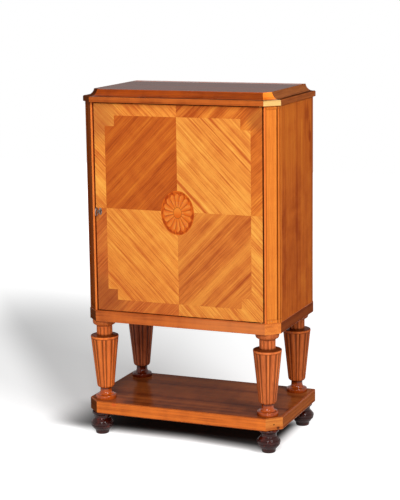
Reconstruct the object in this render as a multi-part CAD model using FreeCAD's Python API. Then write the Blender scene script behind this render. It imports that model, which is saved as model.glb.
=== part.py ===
"""Cellarette: an inlaid drinks cabinet with one locked door, on four turned legs over a low shelf.

Millimetres, +Z up, front towards -Y. The origin is on the floor, under the middle of the bounding box.
"""
import FreeCAD
import Part
import math
import os

V = FreeCAD.Vector
UP = V(0, 0, 1)

# Heights, from the floor up
FOOT_HEIGHT = 70.0
SHELF_THICKNESS = 37.6
LEG_HEIGHT = 248.5
BASE_THICKNESS = 32.4
CARCASE_HEIGHT = 625.1
FASCIA_HEIGHT = 16.6
CAVETTO_HEIGHT = 19.8

# Plan of the carcase, and how far the other stages stand out from it
CARCASE_WIDTH = 610.0
CARCASE_DEPTH = 327.0
CARCASE_CANT = 32.0
CORNICE_OVERHANG_X = 4.1
CORNICE_OVERHANG_Y = 11.6
CORNICE_CANT = 38.4
BASE_OVERHANG_X = 1.1
BASE_OVERHANG_Y = 6.4
BASE_CANT = 36.8
SHELF_OVERHANG_X = 6.3
SHELF_OVERHANG_Y = 10.9
SHELF_CANT = 39.3
REAR_CORNER_RADIUS = 7.0

# Turned legs
LEG_INSET_X = 43.0
FRONT_LEG_SETBACK = 35.6
REAR_LEG_SETBACK = 26.4
DISC_RADIUS = 30.8
DISC_HEIGHT = 13.0
WAIST_RADIUS = 17.5
SCOTIA_HEIGHT = 22.0
BALL_HEIGHT = 11.0
TAPER_END_RADIUS = 25.5
TAPER_TOP_RADIUS = 42.0
SHOULDER_RADIUS = 42.5
SHOULDER_HEIGHT = 4.0
NECK_RADIUS = 24.0
NECK_HEIGHT = 31.0
CAPITAL_RADIUS = 35.0
CAPITAL_HEIGHT = 19.0
REED_COUNT = 8
BEAD_FLAT = 8.5
BEAD_SUNK = 0.7
GROOVE_WIDTH = 2.6
GROOVE_DEPTH = 2.4
FLUTE_COUNT = 12
FLUTE_RADIUS = 6.0
FLUTE_DEPTH = 1.5

# Turned feet
FOOT_INSET_X = 35.0
REAR_FOOT_INSET_X = 26.0
FRONT_FOOT_SETBACK = 20.6
REAR_FOOT_SETBACK = 22.4
FOOT_RADIUS = 35.0
FOOT_WAIST_RADIUS = 21.8
FOOT_COLLAR_RADIUS = 30.5
FOOT_COLLAR_HEIGHT = 7.0
FOOT_WAIST_DROP = 17.4
FOOT_BULB_DROP = 28.6
FOOT_BULB_HEIGHT = 15.0
FOOT_CUP_RADIUS = 20.8
FOOT_CUP_HEIGHT = 13.5
FOOT_PAD_RADIUS = 13.0
FOOT_LIP = 5.0

# Square tenons that join the turned pieces to the boards
TENON_SIZE = 20.0
TENON_LENGTH = 15.0
TENON_CLEARANCE = 0.15

# Boards, posts and lippings
LIPPING_THICKNESS = 8.0
ARRIS = 1.2
BASE_RAIL_WIDTH = 90.0
POST_FACE_WIDTH = 6.5
POST_DEPTH = 40.0
REAR_POST_WIDTH = 24.0
REAR_POST_DEPTH = 18.0
BACK_REBATE_WIDTH = 12.0
BACK_THICKNESS = 6.0
SIDE_THICKNESS = 16.0
DECK_THICKNESS = 16.0

# Sunk panel, groove and bead worked on each canted post
FIELD_TOP_MARGIN = 10.0
FIELD_FOOT_MARGIN = 8.5
FIELD_EDGE = 2.0
FIELD_WIDTH = 32.5
FIELD_SUNK = 1.5
BEAD_GROOVE_WIDTH = 2.4
BEAD_GROOVE_DEPTH = 3.2
BEAD_WIDTH = 5.6
BEAD_SHOULDER_DEPTH = 2.0

# Cornice
CAVETTO_WIDTH = 31.0
CORNICE_WIDTH = 45.0
LIP_WIDTH = 5.0
LIP_RADIUS = 4.0
TOP_BOARD_THICKNESS = 20.0
LEDGE_WIDTH = 10.0

# Shelf inside the cabinet, and the bearers under its ends
LOWER_ROOM = 330.0
INNER_SHELF_THICKNESS = 15.0
INNER_SHELF_SETBACK = 60.0
INNER_SHELF_CLEARANCE = 0.5
BEARER_WIDTH = 14.0
BEARER_HEIGHT = 18.0

# Door
DOOR_THICKNESS = 20.0
DOOR_SIDE_GAP = 4.5
DOOR_END_GAP = 3.3
DECK_CLEARANCE = 2.5
VENEER_THICKNESS = 1.0
DOOR_LIPPING = 8.0
BAND_WIDTH = 34.5
STEP_WIDTH = 30.5
STEP_HEIGHT = 31.5
MEDALLION_HALF_WIDTH = 52.0
MEDALLION_HALF_HEIGHT = 65.0
MEDALLION_DROP = 3.5

# Knife hinges
PIVOT_INSET_X = 7.0
PIVOT_INSET_Y = 8.0
LEAF_LENGTH = 57.0
LEAF_WIDTH = 11.0
BOSS_RADIUS = 5.0
LEAF_THICKNESS = 2.5
LEAF_CLEARANCE = 0.15
PIN_RADIUS = 2.5
PIN_CLEARANCE = 0.05
PIN_LENGTH = 9.0
BOSS_GAP = 0.2

# Lock, key and strike plate
KEY_INSET_X = 14.4
KEY_DROP = 8.05
CASE_WIDTH = 36.0
CASE_BELOW_KEY = 13.0
CASE_ABOVE_KEY = 27.0
CASE_WALL = 1.5
CASE_FIT = 0.15
BOLT_THICKNESS = 4.5
BOLT_HEIGHT = 14.0
BOLT_LENGTH = 29.0
BOLT_FIT = 0.2
BOLT_THROW = 10.0
MORTISE_DEPTH = 9.0
MORTISE_CLEARANCE = 1.5
STRIKE_WIDTH = 13.0
STRIKE_HEIGHT = 40.0
STRIKE_THICKNESS = 1.2
KEY_SHANK_RADIUS = 2.3
KEY_HOLE_CLEARANCE = 0.4
KEY_BIT_REACH = 9.0
KEY_BIT_THICKNESS = 2.0
KEY_BORE_LENGTH = 9.0
DRILL_PIN_RADIUS = 1.1
DRILL_PIN_CLEARANCE = 0.05
KEY_REACH = 37.0
BOW_HALF_HEIGHT = 13.5
BOW_HALF_WIDTH = 8.0
BOW_BAR = 2.8
ESCUTCHEON_HALF_WIDTH = 4.8
ESCUTCHEON_HALF_HEIGHT = 10.5
ESCUTCHEON_THICKNESS = 1.0

# Levels worked out from the heights
SHELF_LOW = FOOT_HEIGHT
SHELF_TOP = SHELF_LOW + SHELF_THICKNESS
BASE_LOW = SHELF_TOP + LEG_HEIGHT
CARCASE_LOW = BASE_LOW + BASE_THICKNESS
CORNICE_LOW = CARCASE_LOW + CARCASE_HEIGHT
CORNICE_HEIGHT = FASCIA_HEIGHT + CAVETTO_HEIGHT
CORNICE_TOP = CORNICE_LOW + CORNICE_HEIGHT
FLOOR_TOP = CARCASE_LOW + DECK_THICKNESS
INNER_SHELF_LOW = FLOOR_TOP + LOWER_ROOM

# Depths worked out so that the bounding box is centred on the origin
REAR_REACH = max(SHOULDER_RADIUS - REAR_LEG_SETBACK, SHELF_OVERHANG_Y, CORNICE_OVERHANG_Y)
FACE_Y = (KEY_REACH - CARCASE_DEPTH - REAR_REACH) / 2
BACK_Y = FACE_Y + CARCASE_DEPTH
HALF_WIDTH = CARCASE_WIDTH / 2

# Door edges
OPENING_HALF_WIDTH = HALF_WIDTH - CARCASE_CANT - POST_FACE_WIDTH
DOOR_HALF_WIDTH = OPENING_HALF_WIDTH - DOOR_SIDE_GAP
DOOR_LOW = CARCASE_LOW + DOOR_END_GAP
DOOR_TOP = CORNICE_LOW - DOOR_END_GAP
DOOR_MIDDLE = (DOOR_LOW + DOOR_TOP) / 2
DOOR_BACK_Y = FACE_Y + DOOR_THICKNESS
CORE_FRONT_Y = FACE_Y + VENEER_THICKNESS
PIVOT_X = DOOR_HALF_WIDTH - PIVOT_INSET_X
PIVOT_Y = FACE_Y + PIVOT_INSET_Y

# Lock places
KEY_X = KEY_INSET_X - DOOR_HALF_WIDTH
KEY_HEIGHT = DOOR_MIDDLE - KEY_DROP
CASE_DEPTH = BOLT_THICKNESS + 2 * BOLT_FIT + 2 * CASE_WALL
CASE_FRONT_Y = DOOR_BACK_Y - CASE_DEPTH
BOLT_FRONT_Y = CASE_FRONT_Y + CASE_WALL + BOLT_FIT
BOLT_BACK_Y = BOLT_FRONT_Y + BOLT_THICKNESS
BOLT_TOP = KEY_HEIGHT + CASE_ABOVE_KEY - CASE_WALL - BOLT_FIT
BOLT_LOW = BOLT_TOP - BOLT_HEIGHT


# ---------------------------------------------------------------- shapes

def box(x0, x1, y0, y1, z0, z1):
    """Box between two limits on each axis."""
    return Part.makeBox(x1 - x0, y1 - y0, z1 - z0, V(x0, y0, z0))


def prism(points, low, high):
    """Upright prism on a plan given as (x, y) points."""
    ring = [V(x, y, low) for x, y in points]
    face = Part.Face(Part.makePolygon(ring + ring[:1]))
    return face.extrude(UP * (high - low))


def upright_cylinder(radius, x, y, low, high):
    """Cylinder along Z between two levels."""
    return Part.makeCylinder(radius, high - low, V(x, y, low))


def slab(points, y0, y1):
    """Flat piece lying in the door's plane, on an outline given as (x, z) points."""
    ring = [V(x, y0, z) for x, z in points]
    face = Part.Face(Part.makePolygon(ring + ring[:1]))
    return face.extrude(V(0, y1 - y0, 0))


def oval(x, z, half_width, half_height, y0, y1):
    """Oval piece lying in the door's plane."""
    tall = Part.Ellipse(V(x, y0, z + half_height), V(x + half_width, y0, z), V(x, y0, z))
    return Part.Face(Part.Wire(tall.toShape())).extrude(V(0, y1 - y0, 0))


class Outline:
    """Outline of lines and arcs in the plane of two unit directions."""

    def __init__(self, u, v, origin=V(0, 0, 0), across=V(1, 0, 0), along=UP):
        self.origin = origin
        self.across = across
        self.along = along
        self.edges = []
        self.start = self.here = self.place(u, v)

    def place(self, u, v):
        return self.origin + self.across * u + self.along * v

    def line(self, u, v):
        end = self.place(u, v)
        self.edges.append(Part.LineSegment(self.here, end).toShape())
        self.here = end
        return self

    def arc(self, mid_u, mid_v, u, v):
        end = self.place(u, v)
        self.edges.append(Part.Arc(self.here, self.place(mid_u, mid_v), end).toShape())
        self.here = end
        return self

    def face(self):
        closing = Part.LineSegment(self.here, self.start).toShape()
        return Part.Face(Part.Wire(self.edges + [closing]))

    def turned(self, x, y):
        """Solid turned about the upright axis at (x, y); the outline starts and ends on that axis."""
        solid = self.face().revolve(V(0, 0, 0), UP, 360)
        solid.translate(V(x, y, 0))
        return solid


def plan_corners(width, front, back, cant):
    """Plan with two canted front corners, anticlockwise from the front left."""
    half = width / 2
    return [(cant - half, front), (half - cant, front), (half, front + cant),
            (half, back), (-half, back), (-half, front + cant)]


FRONT, RIGHT_CANT, RIGHT, BACK, LEFT, LEFT_CANT = range(6)


def edge_normal(points, i):
    """Unit normal of edge i of an anticlockwise plan, pointing inwards."""
    (x0, y0), (x1, y1) = points[i], points[(i + 1) % len(points)]
    length = math.hypot(x1 - x0, y1 - y0)
    return (y0 - y1) / length, (x1 - x0) / length


def inset(points, depths):
    """Plan whose edges lie inside those of points, each by its own depth."""
    inner = []
    for i, (x, y) in enumerate(points):
        before = (i - 1) % len(points)
        ax, ay = edge_normal(points, before)
        bx, by = edge_normal(points, i)
        det = ax * by - ay * bx
        dx = (depths[before] * by - depths[i] * ay) / det
        dy = (depths[i] * ax - depths[before] * bx) / det
        inner.append((x + dx, y + dy))
    return inner


def mitre_wedge(points, inner, i, low, high):
    """Prism over edge i of a plan, bounded by the mitres at its two ends."""
    ends = []
    for k in (i, (i + 1) % len(points)):
        (ox, oy), (ix, iy) = points[k], inner[k]
        ends.append(((ox, oy), (2 * ox - ix, 2 * oy - iy), (ix, iy)))
    (_, out0, in0), (_, out1, in1) = ends
    return prism([out0, out1, in1, in0], low, high)


def moulding(points, depths, i, section, low, high):
    """Straight moulding along edge i of a plan, mitred to its neighbours.

    section draws the moulding's face on an Outline whose first direction points into the plan.
    """
    (x0, y0), (x1, y1) = points[i], points[(i + 1) % len(points)]
    run = V(x1 - x0, y1 - y0, 0)
    inwards = V(*edge_normal(points, i), 0)
    bar = section(V(x0, y0, low) - run, inwards).extrude(run * 3)
    return bar.common(mitre_wedge(points, inset(points, depths), i, low, high))


def round_rear_corner(shape, side, half, back):
    """Round the upright edge of a side piece at the back corner."""
    chosen = []
    for edge in shape.Edges:
        middle = edge.BoundBox.Center
        upright = edge.BoundBox.ZLength > REAR_CORNER_RADIUS
        at_corner = abs(middle.x - side * half) < 0.01 and abs(middle.y - back) < 0.01
        if upright and at_corner:
            chosen.append(edge)
    return shape.makeFillet(REAR_CORNER_RADIUS, chosen)


# ---------------------------------------------------------------- legs and feet

LEG_X = HALF_WIDTH - LEG_INSET_X
LEG_PLACES = {
    "front_left": (-LEG_X, FACE_Y + FRONT_LEG_SETBACK),
    "front_right": (LEG_X, FACE_Y + FRONT_LEG_SETBACK),
    "rear_left": (-LEG_X, BACK_Y - REAR_LEG_SETBACK),
    "rear_right": (LEG_X, BACK_Y - REAR_LEG_SETBACK),
}
FRONT_FOOT_X = HALF_WIDTH - FOOT_INSET_X
REAR_FOOT_X = HALF_WIDTH - REAR_FOOT_INSET_X
FOOT_PLACES = {
    "front_left": (-FRONT_FOOT_X, FACE_Y + FRONT_FOOT_SETBACK),
    "front_right": (FRONT_FOOT_X, FACE_Y + FRONT_FOOT_SETBACK),
    "rear_left": (-REAR_FOOT_X, BACK_Y - REAR_FOOT_SETBACK),
    "rear_right": (REAR_FOOT_X, BACK_Y - REAR_FOOT_SETBACK),
}


def foot_outline():
    """Turned foot on the floor: pad, cup, lip, bulb, hollow waist and collar."""
    lip = FOOT_CUP_RADIUS + FOOT_LIP
    bulb_top = FOOT_HEIGHT - FOOT_BULB_DROP
    bulb_low = bulb_top - FOOT_BULB_HEIGHT
    waist = FOOT_HEIGHT - FOOT_WAIST_DROP
    collar = FOOT_HEIGHT - FOOT_COLLAR_HEIGHT
    line = Outline(0, 0)
    line.line(FOOT_PAD_RADIUS, 0)
    line.line(FOOT_CUP_RADIUS, FOOT_CUP_HEIGHT / 3)
    line.line(FOOT_CUP_RADIUS, FOOT_CUP_HEIGHT)
    line.line(lip, FOOT_CUP_HEIGHT)
    line.line(FOOT_RADIUS - 0.8 * FOOT_LIP, bulb_low)
    line.line(FOOT_RADIUS, bulb_low + 0.6 * FOOT_BULB_HEIGHT)
    line.line(FOOT_RADIUS - 0.6 * FOOT_LIP, bulb_top)
    line.line(FOOT_WAIST_RADIUS, waist)
    line.line(FOOT_COLLAR_RADIUS - 0.5 * FOOT_LIP, collar)
    line.line(FOOT_COLLAR_RADIUS, FOOT_HEIGHT - FOOT_COLLAR_HEIGHT / 2)
    line.line(FOOT_COLLAR_RADIUS, FOOT_HEIGHT)
    line.line(0, FOOT_HEIGHT)
    return line


DISC_TOP = SHELF_TOP + DISC_HEIGHT
SCOTIA_TOP = DISC_TOP + SCOTIA_HEIGHT
TAPER_LOW = SCOTIA_TOP + BALL_HEIGHT
CAPITAL_LOW = BASE_LOW - CAPITAL_HEIGHT
NECK_LOW = CAPITAL_LOW - NECK_HEIGHT
TAPER_TOP = NECK_LOW - SHOULDER_HEIGHT


def leg_outline():
    """Turned leg on the lower shelf: disc, scotia, ball, taper, shoulder, neck and capital."""
    eased = SHOULDER_RADIUS - TAPER_TOP_RADIUS
    line = Outline(0, SHELF_TOP)
    line.line(DISC_RADIUS, SHELF_TOP)
    line.line(DISC_RADIUS, SHELF_TOP + 0.8 * DISC_HEIGHT)
    line.line(DISC_RADIUS - 2 * eased, DISC_TOP)
    line.line(WAIST_RADIUS + 1.5 * eased, DISC_TOP + 0.45 * SCOTIA_HEIGHT)
    line.line(WAIST_RADIUS, SCOTIA_TOP)
    line.line(TAPER_END_RADIUS, TAPER_LOW)
    line.line(TAPER_TOP_RADIUS, TAPER_TOP)
    line.line(SHOULDER_RADIUS, TAPER_TOP + 0.2 * SHOULDER_HEIGHT)
    line.line(SHOULDER_RADIUS, TAPER_TOP + 0.6 * SHOULDER_HEIGHT)
    line.line(SHOULDER_RADIUS - 3 * eased, NECK_LOW)
    line.line(NECK_RADIUS, NECK_LOW)
    line.line(NECK_RADIUS, CAPITAL_LOW)
    line.line(CAPITAL_RADIUS, CAPITAL_LOW + 0.5 * CAPITAL_HEIGHT)
    line.line(CAPITAL_RADIUS, BASE_LOW)
    line.line(0, BASE_LOW)
    return line


def tenon(x, y, low, grow=0.0):
    """Square tenon, or its mortise, rising from a level."""
    half = TENON_SIZE / 2 + grow
    return box(x - half, x + half, y - half, y + half, low, low + TENON_LENGTH + grow)


def reed_cutter():
    """Cut between two reeds, at angle zero: two grooves with a sunk bead between them.

    It lies along the taper, and runs out through the ball below it.
    """
    half = BEAD_FLAT / 2
    clear = GROOVE_DEPTH
    section = [(clear, -half - GROOVE_WIDTH), (-GROOVE_DEPTH, -half - GROOVE_WIDTH / 2), (-BEAD_SUNK, -half),
               (-BEAD_SUNK, half), (-GROOVE_DEPTH, half + GROOVE_WIDTH / 2), (clear, half + GROOVE_WIDTH)]
    slope = (TAPER_TOP_RADIUS - TAPER_END_RADIUS) / (TAPER_TOP - TAPER_LOW)
    start = SCOTIA_TOP
    radius = TAPER_END_RADIUS - slope * (TAPER_LOW - start)
    ring = [V(radius + depth, across, start) for depth, across in section]
    along = V(slope, 0, 1) * (TAPER_TOP - start)
    return Part.Face(Part.makePolygon(ring + ring[:1])).extrude(along)


def flute_cutter():
    """Upright flute of the neck, at angle zero."""
    return upright_cylinder(FLUTE_RADIUS, NECK_RADIUS - FLUTE_DEPTH + FLUTE_RADIUS, 0, NECK_LOW, CAPITAL_LOW)


def leg_blank():
    """Leg turned on the origin, then reeded on the taper, fluted on the neck and tenoned at both ends.

    The first cuts and the first flute lie in line, half a reed away from the X axis.
    """
    cuts = []
    for count, cutter in ((REED_COUNT, reed_cutter()), (FLUTE_COUNT, flute_cutter())):
        for i in range(count):
            copy = cutter.copy()
            copy.rotate(V(0, 0, 0), UP, 180.0 / REED_COUNT + i * 360.0 / count)
            cuts.append(copy)
    tenons = [tenon(0, 0, SHELF_TOP - TENON_LENGTH), tenon(0, 0, BASE_LOW)]
    return leg_outline().turned(0, 0).cut(cuts).fuse(tenons).removeSplitter()


def legs_and_feet():
    """The four legs and four feet."""
    parts = {}
    leg = leg_blank()
    foot = foot_outline().turned(0, 0).fuse(tenon(0, 0, FOOT_HEIGHT))
    for place, (x, y) in LEG_PLACES.items():
        parts["leg_" + place] = leg.translated(V(x, y, 0))
    for place, (x, y) in FOOT_PLACES.items():
        parts["foot_" + place] = foot.translated(V(x, y, 0))
    return parts


def mortises(places, low):
    """Mortises for the tenons at the given places, rising from a level."""
    return [tenon(x, y, low, TENON_CLEARANCE) for x, y in places.values()]


# ---------------------------------------------------------------- lower shelf

SHELF_WIDTH = CARCASE_WIDTH + 2 * SHELF_OVERHANG_X
SHELF_PLAN = plan_corners(SHELF_WIDTH, FACE_Y - SHELF_OVERHANG_Y, BACK_Y + SHELF_OVERHANG_Y, SHELF_CANT)


def lipping_section(origin, inwards):
    """Section of a lipping with its two outer arrises eased."""
    line = Outline(LIPPING_THICKNESS, 0, origin, inwards)
    line.line(LIPPING_THICKNESS, SHELF_THICKNESS)
    line.line(ARRIS, SHELF_THICKNESS)
    line.line(0, SHELF_THICKNESS - ARRIS)
    line.line(0, ARRIS)
    line.line(ARRIS, 0)
    return line.face()


def lower_shelf():
    """Board, with lippings on the front, the canted corners and the sides."""
    t = LIPPING_THICKNESS
    depths = [t, t, t, 0, t, t]
    board = prism(inset(SHELF_PLAN, depths), SHELF_LOW, SHELF_TOP)
    board = board.cut(mortises(FOOT_PLACES, SHELF_LOW))
    board = board.cut(mortises(LEG_PLACES, SHELF_TOP - TENON_LENGTH - TENON_CLEARANCE))
    parts = {"shelf_board": board}
    edges = {"front": FRONT, "right_cant": RIGHT_CANT, "right": RIGHT, "left": LEFT, "left_cant": LEFT_CANT}
    for name, i in edges.items():
        strip = moulding(SHELF_PLAN, depths, i, lipping_section, SHELF_LOW, SHELF_TOP)
        parts["shelf_lipping_" + name] = strip
    for side, name in ((1, "right"), (-1, "left")):
        strip = parts["shelf_lipping_" + name]
        corner = round_rear_corner(strip, side, SHELF_WIDTH / 2, BACK_Y + SHELF_OVERHANG_Y)
        parts["shelf_lipping_" + name] = corner
    return parts


# ---------------------------------------------------------------- base frame

BASE_WIDTH = CARCASE_WIDTH + 2 * BASE_OVERHANG_X
BASE_FRONT = FACE_Y - BASE_OVERHANG_Y
BASE_BACK = BACK_Y + BASE_OVERHANG_Y
BASE_PLAN = plan_corners(BASE_WIDTH, BASE_FRONT, BASE_BACK, BASE_CANT)


def base_frame():
    """Four flat rails that the legs are tenoned into, with facings on the canted corners."""
    half = BASE_WIDTH / 2
    top = CARCASE_LOW
    inner_front = BASE_FRONT + BASE_RAIL_WIDTH
    inner_back = BASE_BACK - BASE_RAIL_WIDTH
    blank = prism(BASE_PLAN, BASE_LOW, top).cut(mortises(LEG_PLACES, BASE_LOW))
    parts = {}
    depths = [LIPPING_THICKNESS] * 6
    facing_plan = inset(BASE_PLAN, depths)
    facings = {}
    for name, i in (("right", RIGHT_CANT), ("left", LEFT_CANT)):
        k = (i + 1) % 6
        corners = [BASE_PLAN[i], BASE_PLAN[k], facing_plan[k], facing_plan[i]]
        facings["base_facing_" + name] = prism(corners, BASE_LOW, top)
    parts.update(facings)
    front = blank.common(box(-half, half, BASE_FRONT, inner_front, BASE_LOW, top))
    front = front.cut(list(facings.values()))
    parts["base_rail_front"] = front.cut(leaf_pocket(top - LEAF_THICKNESS - LEAF_CLEARANCE, top))
    back = blank.common(box(-half, half, inner_back, BASE_BACK, BASE_LOW, top))
    for side in (1, -1):
        back = round_rear_corner(back, side, half, BASE_BACK)
    parts["base_rail_back"] = back
    for side, name in ((1, "right"), (-1, "left")):
        near, far = sorted((side * (half - BASE_RAIL_WIDTH), side * half))
        parts["base_rail_" + name] = box(near, far, inner_front, inner_back, BASE_LOW, top)
    return parts


# ---------------------------------------------------------------- carcase

def flip(points, side):
    """Plan points, mirrored for the left side."""
    return [(side * x, y) for x, y in points]


def on_cant(side, s, depth):
    """Plan point on the canted face: s along it from the front corner, depth into the wood."""
    k = math.sqrt(0.5)
    x = HALF_WIDTH - CARCASE_CANT + (s - depth) * k
    y = FACE_Y + (s + depth) * k
    return side * x, y


def cant_cut(side, s0, s1, depth):
    """Upright sinking worked on the canted face."""
    clear = 1.0
    points = [on_cant(side, s0, -clear), on_cant(side, s1, -clear),
              on_cant(side, s1, depth), on_cant(side, s0, depth)]
    return prism(points, CARCASE_LOW + FIELD_FOOT_MARGIN, CORNICE_LOW - FIELD_TOP_MARGIN)


def front_post(side):
    """Canted post with a sunk panel, a groove and a bead on its canted face."""
    inner = OPENING_HALF_WIDTH
    plan = [(inner, FACE_Y), (HALF_WIDTH - CARCASE_CANT, FACE_Y), (HALF_WIDTH, FACE_Y + CARCASE_CANT),
            (HALF_WIDTH, FACE_Y + POST_DEPTH), (inner, FACE_Y + POST_DEPTH)]
    post = prism(flip(plan, side), CARCASE_LOW, CORNICE_LOW)
    field_end = FIELD_EDGE + FIELD_WIDTH
    groove_end = field_end + BEAD_GROOVE_WIDTH
    bead_end = groove_end + BEAD_WIDTH
    cant_length = CARCASE_CANT * math.sqrt(2)
    cuts = [cant_cut(side, FIELD_EDGE, field_end, FIELD_SUNK),
            cant_cut(side, field_end, groove_end, BEAD_GROOVE_DEPTH),
            cant_cut(side, bead_end, cant_length, BEAD_SHOULDER_DEPTH)]
    return post.cut(cuts)


def rear_post(side):
    """Rear post, rebated for the back panel."""
    inner = HALF_WIDTH - REAR_POST_WIDTH
    rebate_x = HALF_WIDTH - BACK_REBATE_WIDTH
    rebate_y = BACK_Y - BACK_THICKNESS
    plan = [(inner, BACK_Y - REAR_POST_DEPTH), (HALF_WIDTH, BACK_Y - REAR_POST_DEPTH),
            (HALF_WIDTH, BACK_Y), (rebate_x, BACK_Y), (rebate_x, rebate_y), (inner, rebate_y)]
    return prism(flip(plan, side), CARCASE_LOW, CORNICE_LOW)


def deck(low):
    """Floor or ceiling board, notched round the four posts."""
    side = HALF_WIDTH - SIDE_THICKNESS
    rear = HALF_WIDTH - REAR_POST_WIDTH
    front_y = DOOR_BACK_Y + DECK_CLEARANCE
    post_y = FACE_Y + POST_DEPTH
    rear_y = BACK_Y - REAR_POST_DEPTH
    back_y = BACK_Y - BACK_THICKNESS
    right = [(OPENING_HALF_WIDTH, front_y), (OPENING_HALF_WIDTH, post_y), (side, post_y),
             (side, rear_y), (rear, rear_y), (rear, back_y)]
    left = [(-x, y) for x, y in reversed(right)]
    return prism(right + left, low, low + DECK_THICKNESS)


def side_panel(side):
    """Side panel between the posts."""
    near, far = sorted((side * (HALF_WIDTH - SIDE_THICKNESS), side * HALF_WIDTH))
    return box(near, far, FACE_Y + POST_DEPTH, BACK_Y - REAR_POST_DEPTH, CARCASE_LOW, CORNICE_LOW)


def inner_shelf():
    """Shelf inside the cabinet, and the bearers on the side panels that carry it."""
    inner = HALF_WIDTH - SIDE_THICKNESS
    y0 = FACE_Y + INNER_SHELF_SETBACK
    y1 = BACK_Y - REAR_POST_DEPTH - INNER_SHELF_CLEARANCE
    low, top = INNER_SHELF_LOW, INNER_SHELF_LOW + INNER_SHELF_THICKNESS
    half = inner - INNER_SHELF_CLEARANCE
    bearers = []
    for side in (-1, 1):
        near, far = sorted((side * (inner - BEARER_WIDTH), side * inner))
        bearers.append(box(near, far, y0 + BEARER_WIDTH, y1, low - BEARER_HEIGHT, low))
    return {"inner_shelf": box(-half, half, y0, y1, low, top), "shelf_bearers": Part.makeCompound(bearers)}


def carcase():
    """Posts, panels, decks, back and the shelf inside."""
    back_half = HALF_WIDTH - BACK_REBATE_WIDTH
    parts = {
        "carcase_floor": deck(CARCASE_LOW),
        "carcase_ceiling": deck(CORNICE_LOW - DECK_THICKNESS),
        "back_panel": box(-back_half, back_half, BACK_Y - BACK_THICKNESS, BACK_Y, CARCASE_LOW, CORNICE_LOW),
    }
    for side, name in ((1, "right"), (-1, "left")):
        parts["front_post_" + name] = front_post(side)
        parts["rear_post_" + name] = rear_post(side)
        parts["side_panel_" + name] = side_panel(side)
    parts["front_post_left"] = parts["front_post_left"].cut([strike_recess(), bolt_mortise()])
    parts.update(inner_shelf())
    return parts


# ---------------------------------------------------------------- cornice and top

CORNICE_SIZE = CARCASE_WIDTH + 2 * CORNICE_OVERHANG_X
CORNICE_FRONT = FACE_Y - CORNICE_OVERHANG_Y
CORNICE_BACK = BACK_Y + CORNICE_OVERHANG_Y
CORNICE_PLAN = plan_corners(CORNICE_SIZE, CORNICE_FRONT, CORNICE_BACK, CORNICE_CANT)
LEDGE_HEIGHT = CORNICE_HEIGHT - TOP_BOARD_THICKNESS
LEDGE_START = CORNICE_WIDTH - LEDGE_WIDTH


def cornice_section(origin, inwards):
    """Fascia, rounded lip and hollow, with a ledge inside for the top board."""
    k = math.sqrt(0.5)
    hollow_width = CAVETTO_WIDTH - LIP_WIDTH
    r = LIP_RADIUS
    line = Outline(0, 0, origin, inwards)
    line.line(CORNICE_WIDTH, 0)
    line.line(CORNICE_WIDTH, LEDGE_HEIGHT)
    line.line(LEDGE_START, LEDGE_HEIGHT)
    line.line(LEDGE_START, CORNICE_HEIGHT)
    line.line(CAVETTO_WIDTH, CORNICE_HEIGHT)
    line.arc(LIP_WIDTH + hollow_width * k, CORNICE_HEIGHT - CAVETTO_HEIGHT * k, LIP_WIDTH, FASCIA_HEIGHT)
    line.line(r, FASCIA_HEIGHT)
    line.arc(r * (1 - k), FASCIA_HEIGHT - r * (1 - k), 0, FASCIA_HEIGHT - r)
    return line.face()


def cornice():
    """Mitred mouldings on five edges, a batten across the back, and the board between them."""
    w = CORNICE_WIDTH
    depths = [w, w, w, 0, w, w]
    edges = {"front": FRONT, "right_cant": RIGHT_CANT, "right": RIGHT, "left": LEFT, "left_cant": LEFT_CANT}
    parts = {}
    pocket = leaf_pocket(CORNICE_LOW, CORNICE_LOW + LEAF_THICKNESS + LEAF_CLEARANCE)
    for name, i in edges.items():
        strip = moulding(CORNICE_PLAN, depths, i, cornice_section, CORNICE_LOW, CORNICE_TOP)
        parts["cornice_" + name] = strip.cut(pocket)
    ledge = CORNICE_LOW + LEDGE_HEIGHT
    low_half = CORNICE_SIZE / 2 - w
    high_half = CORNICE_SIZE / 2 - LEDGE_START
    batten = box(-low_half, low_half, CORNICE_BACK - w, CORNICE_BACK, CORNICE_LOW, ledge)
    upper = box(-high_half, high_half, CORNICE_BACK - LEDGE_START, CORNICE_BACK, ledge, CORNICE_TOP)
    parts["cornice_batten"] = batten.fuse(upper).removeSplitter()
    parts["top_board"] = prism(inset(CORNICE_PLAN, [LEDGE_START] * 6), ledge, CORNICE_TOP)
    return parts


# ---------------------------------------------------------------- door

def quarter_field(side, rise):
    """Outline of one quarter of the inlaid field, with its stepped outer corner."""
    edge_x = DOOR_HALF_WIDTH - BAND_WIDTH
    edge_z = (DOOR_TOP - DOOR_LOW) / 2 - BAND_WIDTH
    step_x = edge_x - STEP_WIDTH
    step_z = edge_z - STEP_HEIGHT
    points = [(0, 0), (edge_x, 0), (edge_x, step_z), (step_x, step_z), (step_x, edge_z), (0, edge_z)]
    return [(side * x, DOOR_MIDDLE + rise * z) for x, z in points]


def door_veneers():
    """Four quarters, four cross-bandings and the oval medallion, all flush."""
    y0, y1 = FACE_Y, CORE_FRONT_Y
    medallion = oval(0, DOOR_MIDDLE - MEDALLION_DROP, MEDALLION_HALF_WIDTH, MEDALLION_HALF_HEIGHT, y0, y1)
    parts = {"medallion": medallion}
    for rise, level in ((1, "upper"), (-1, "lower")):
        for side, hand in ((1, "right"), (-1, "left")):
            field = slab(quarter_field(side, rise), y0, y1)
            outer = [(0, DOOR_MIDDLE), (side * DOOR_HALF_WIDTH, DOOR_MIDDLE)]
            edge = DOOR_TOP if rise > 0 else DOOR_LOW
            outer += [(side * DOOR_HALF_WIDTH, edge), (0, edge)]
            band = slab(outer, y0, y1).cut(field)
            parts["veneer_" + level + "_" + hand] = field.cut(medallion)
            parts["banding_" + level + "_" + hand] = band
    parts["banding_lower_left"] = parts["banding_lower_left"].cut(keyhole(y0, y1))
    return parts


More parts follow.
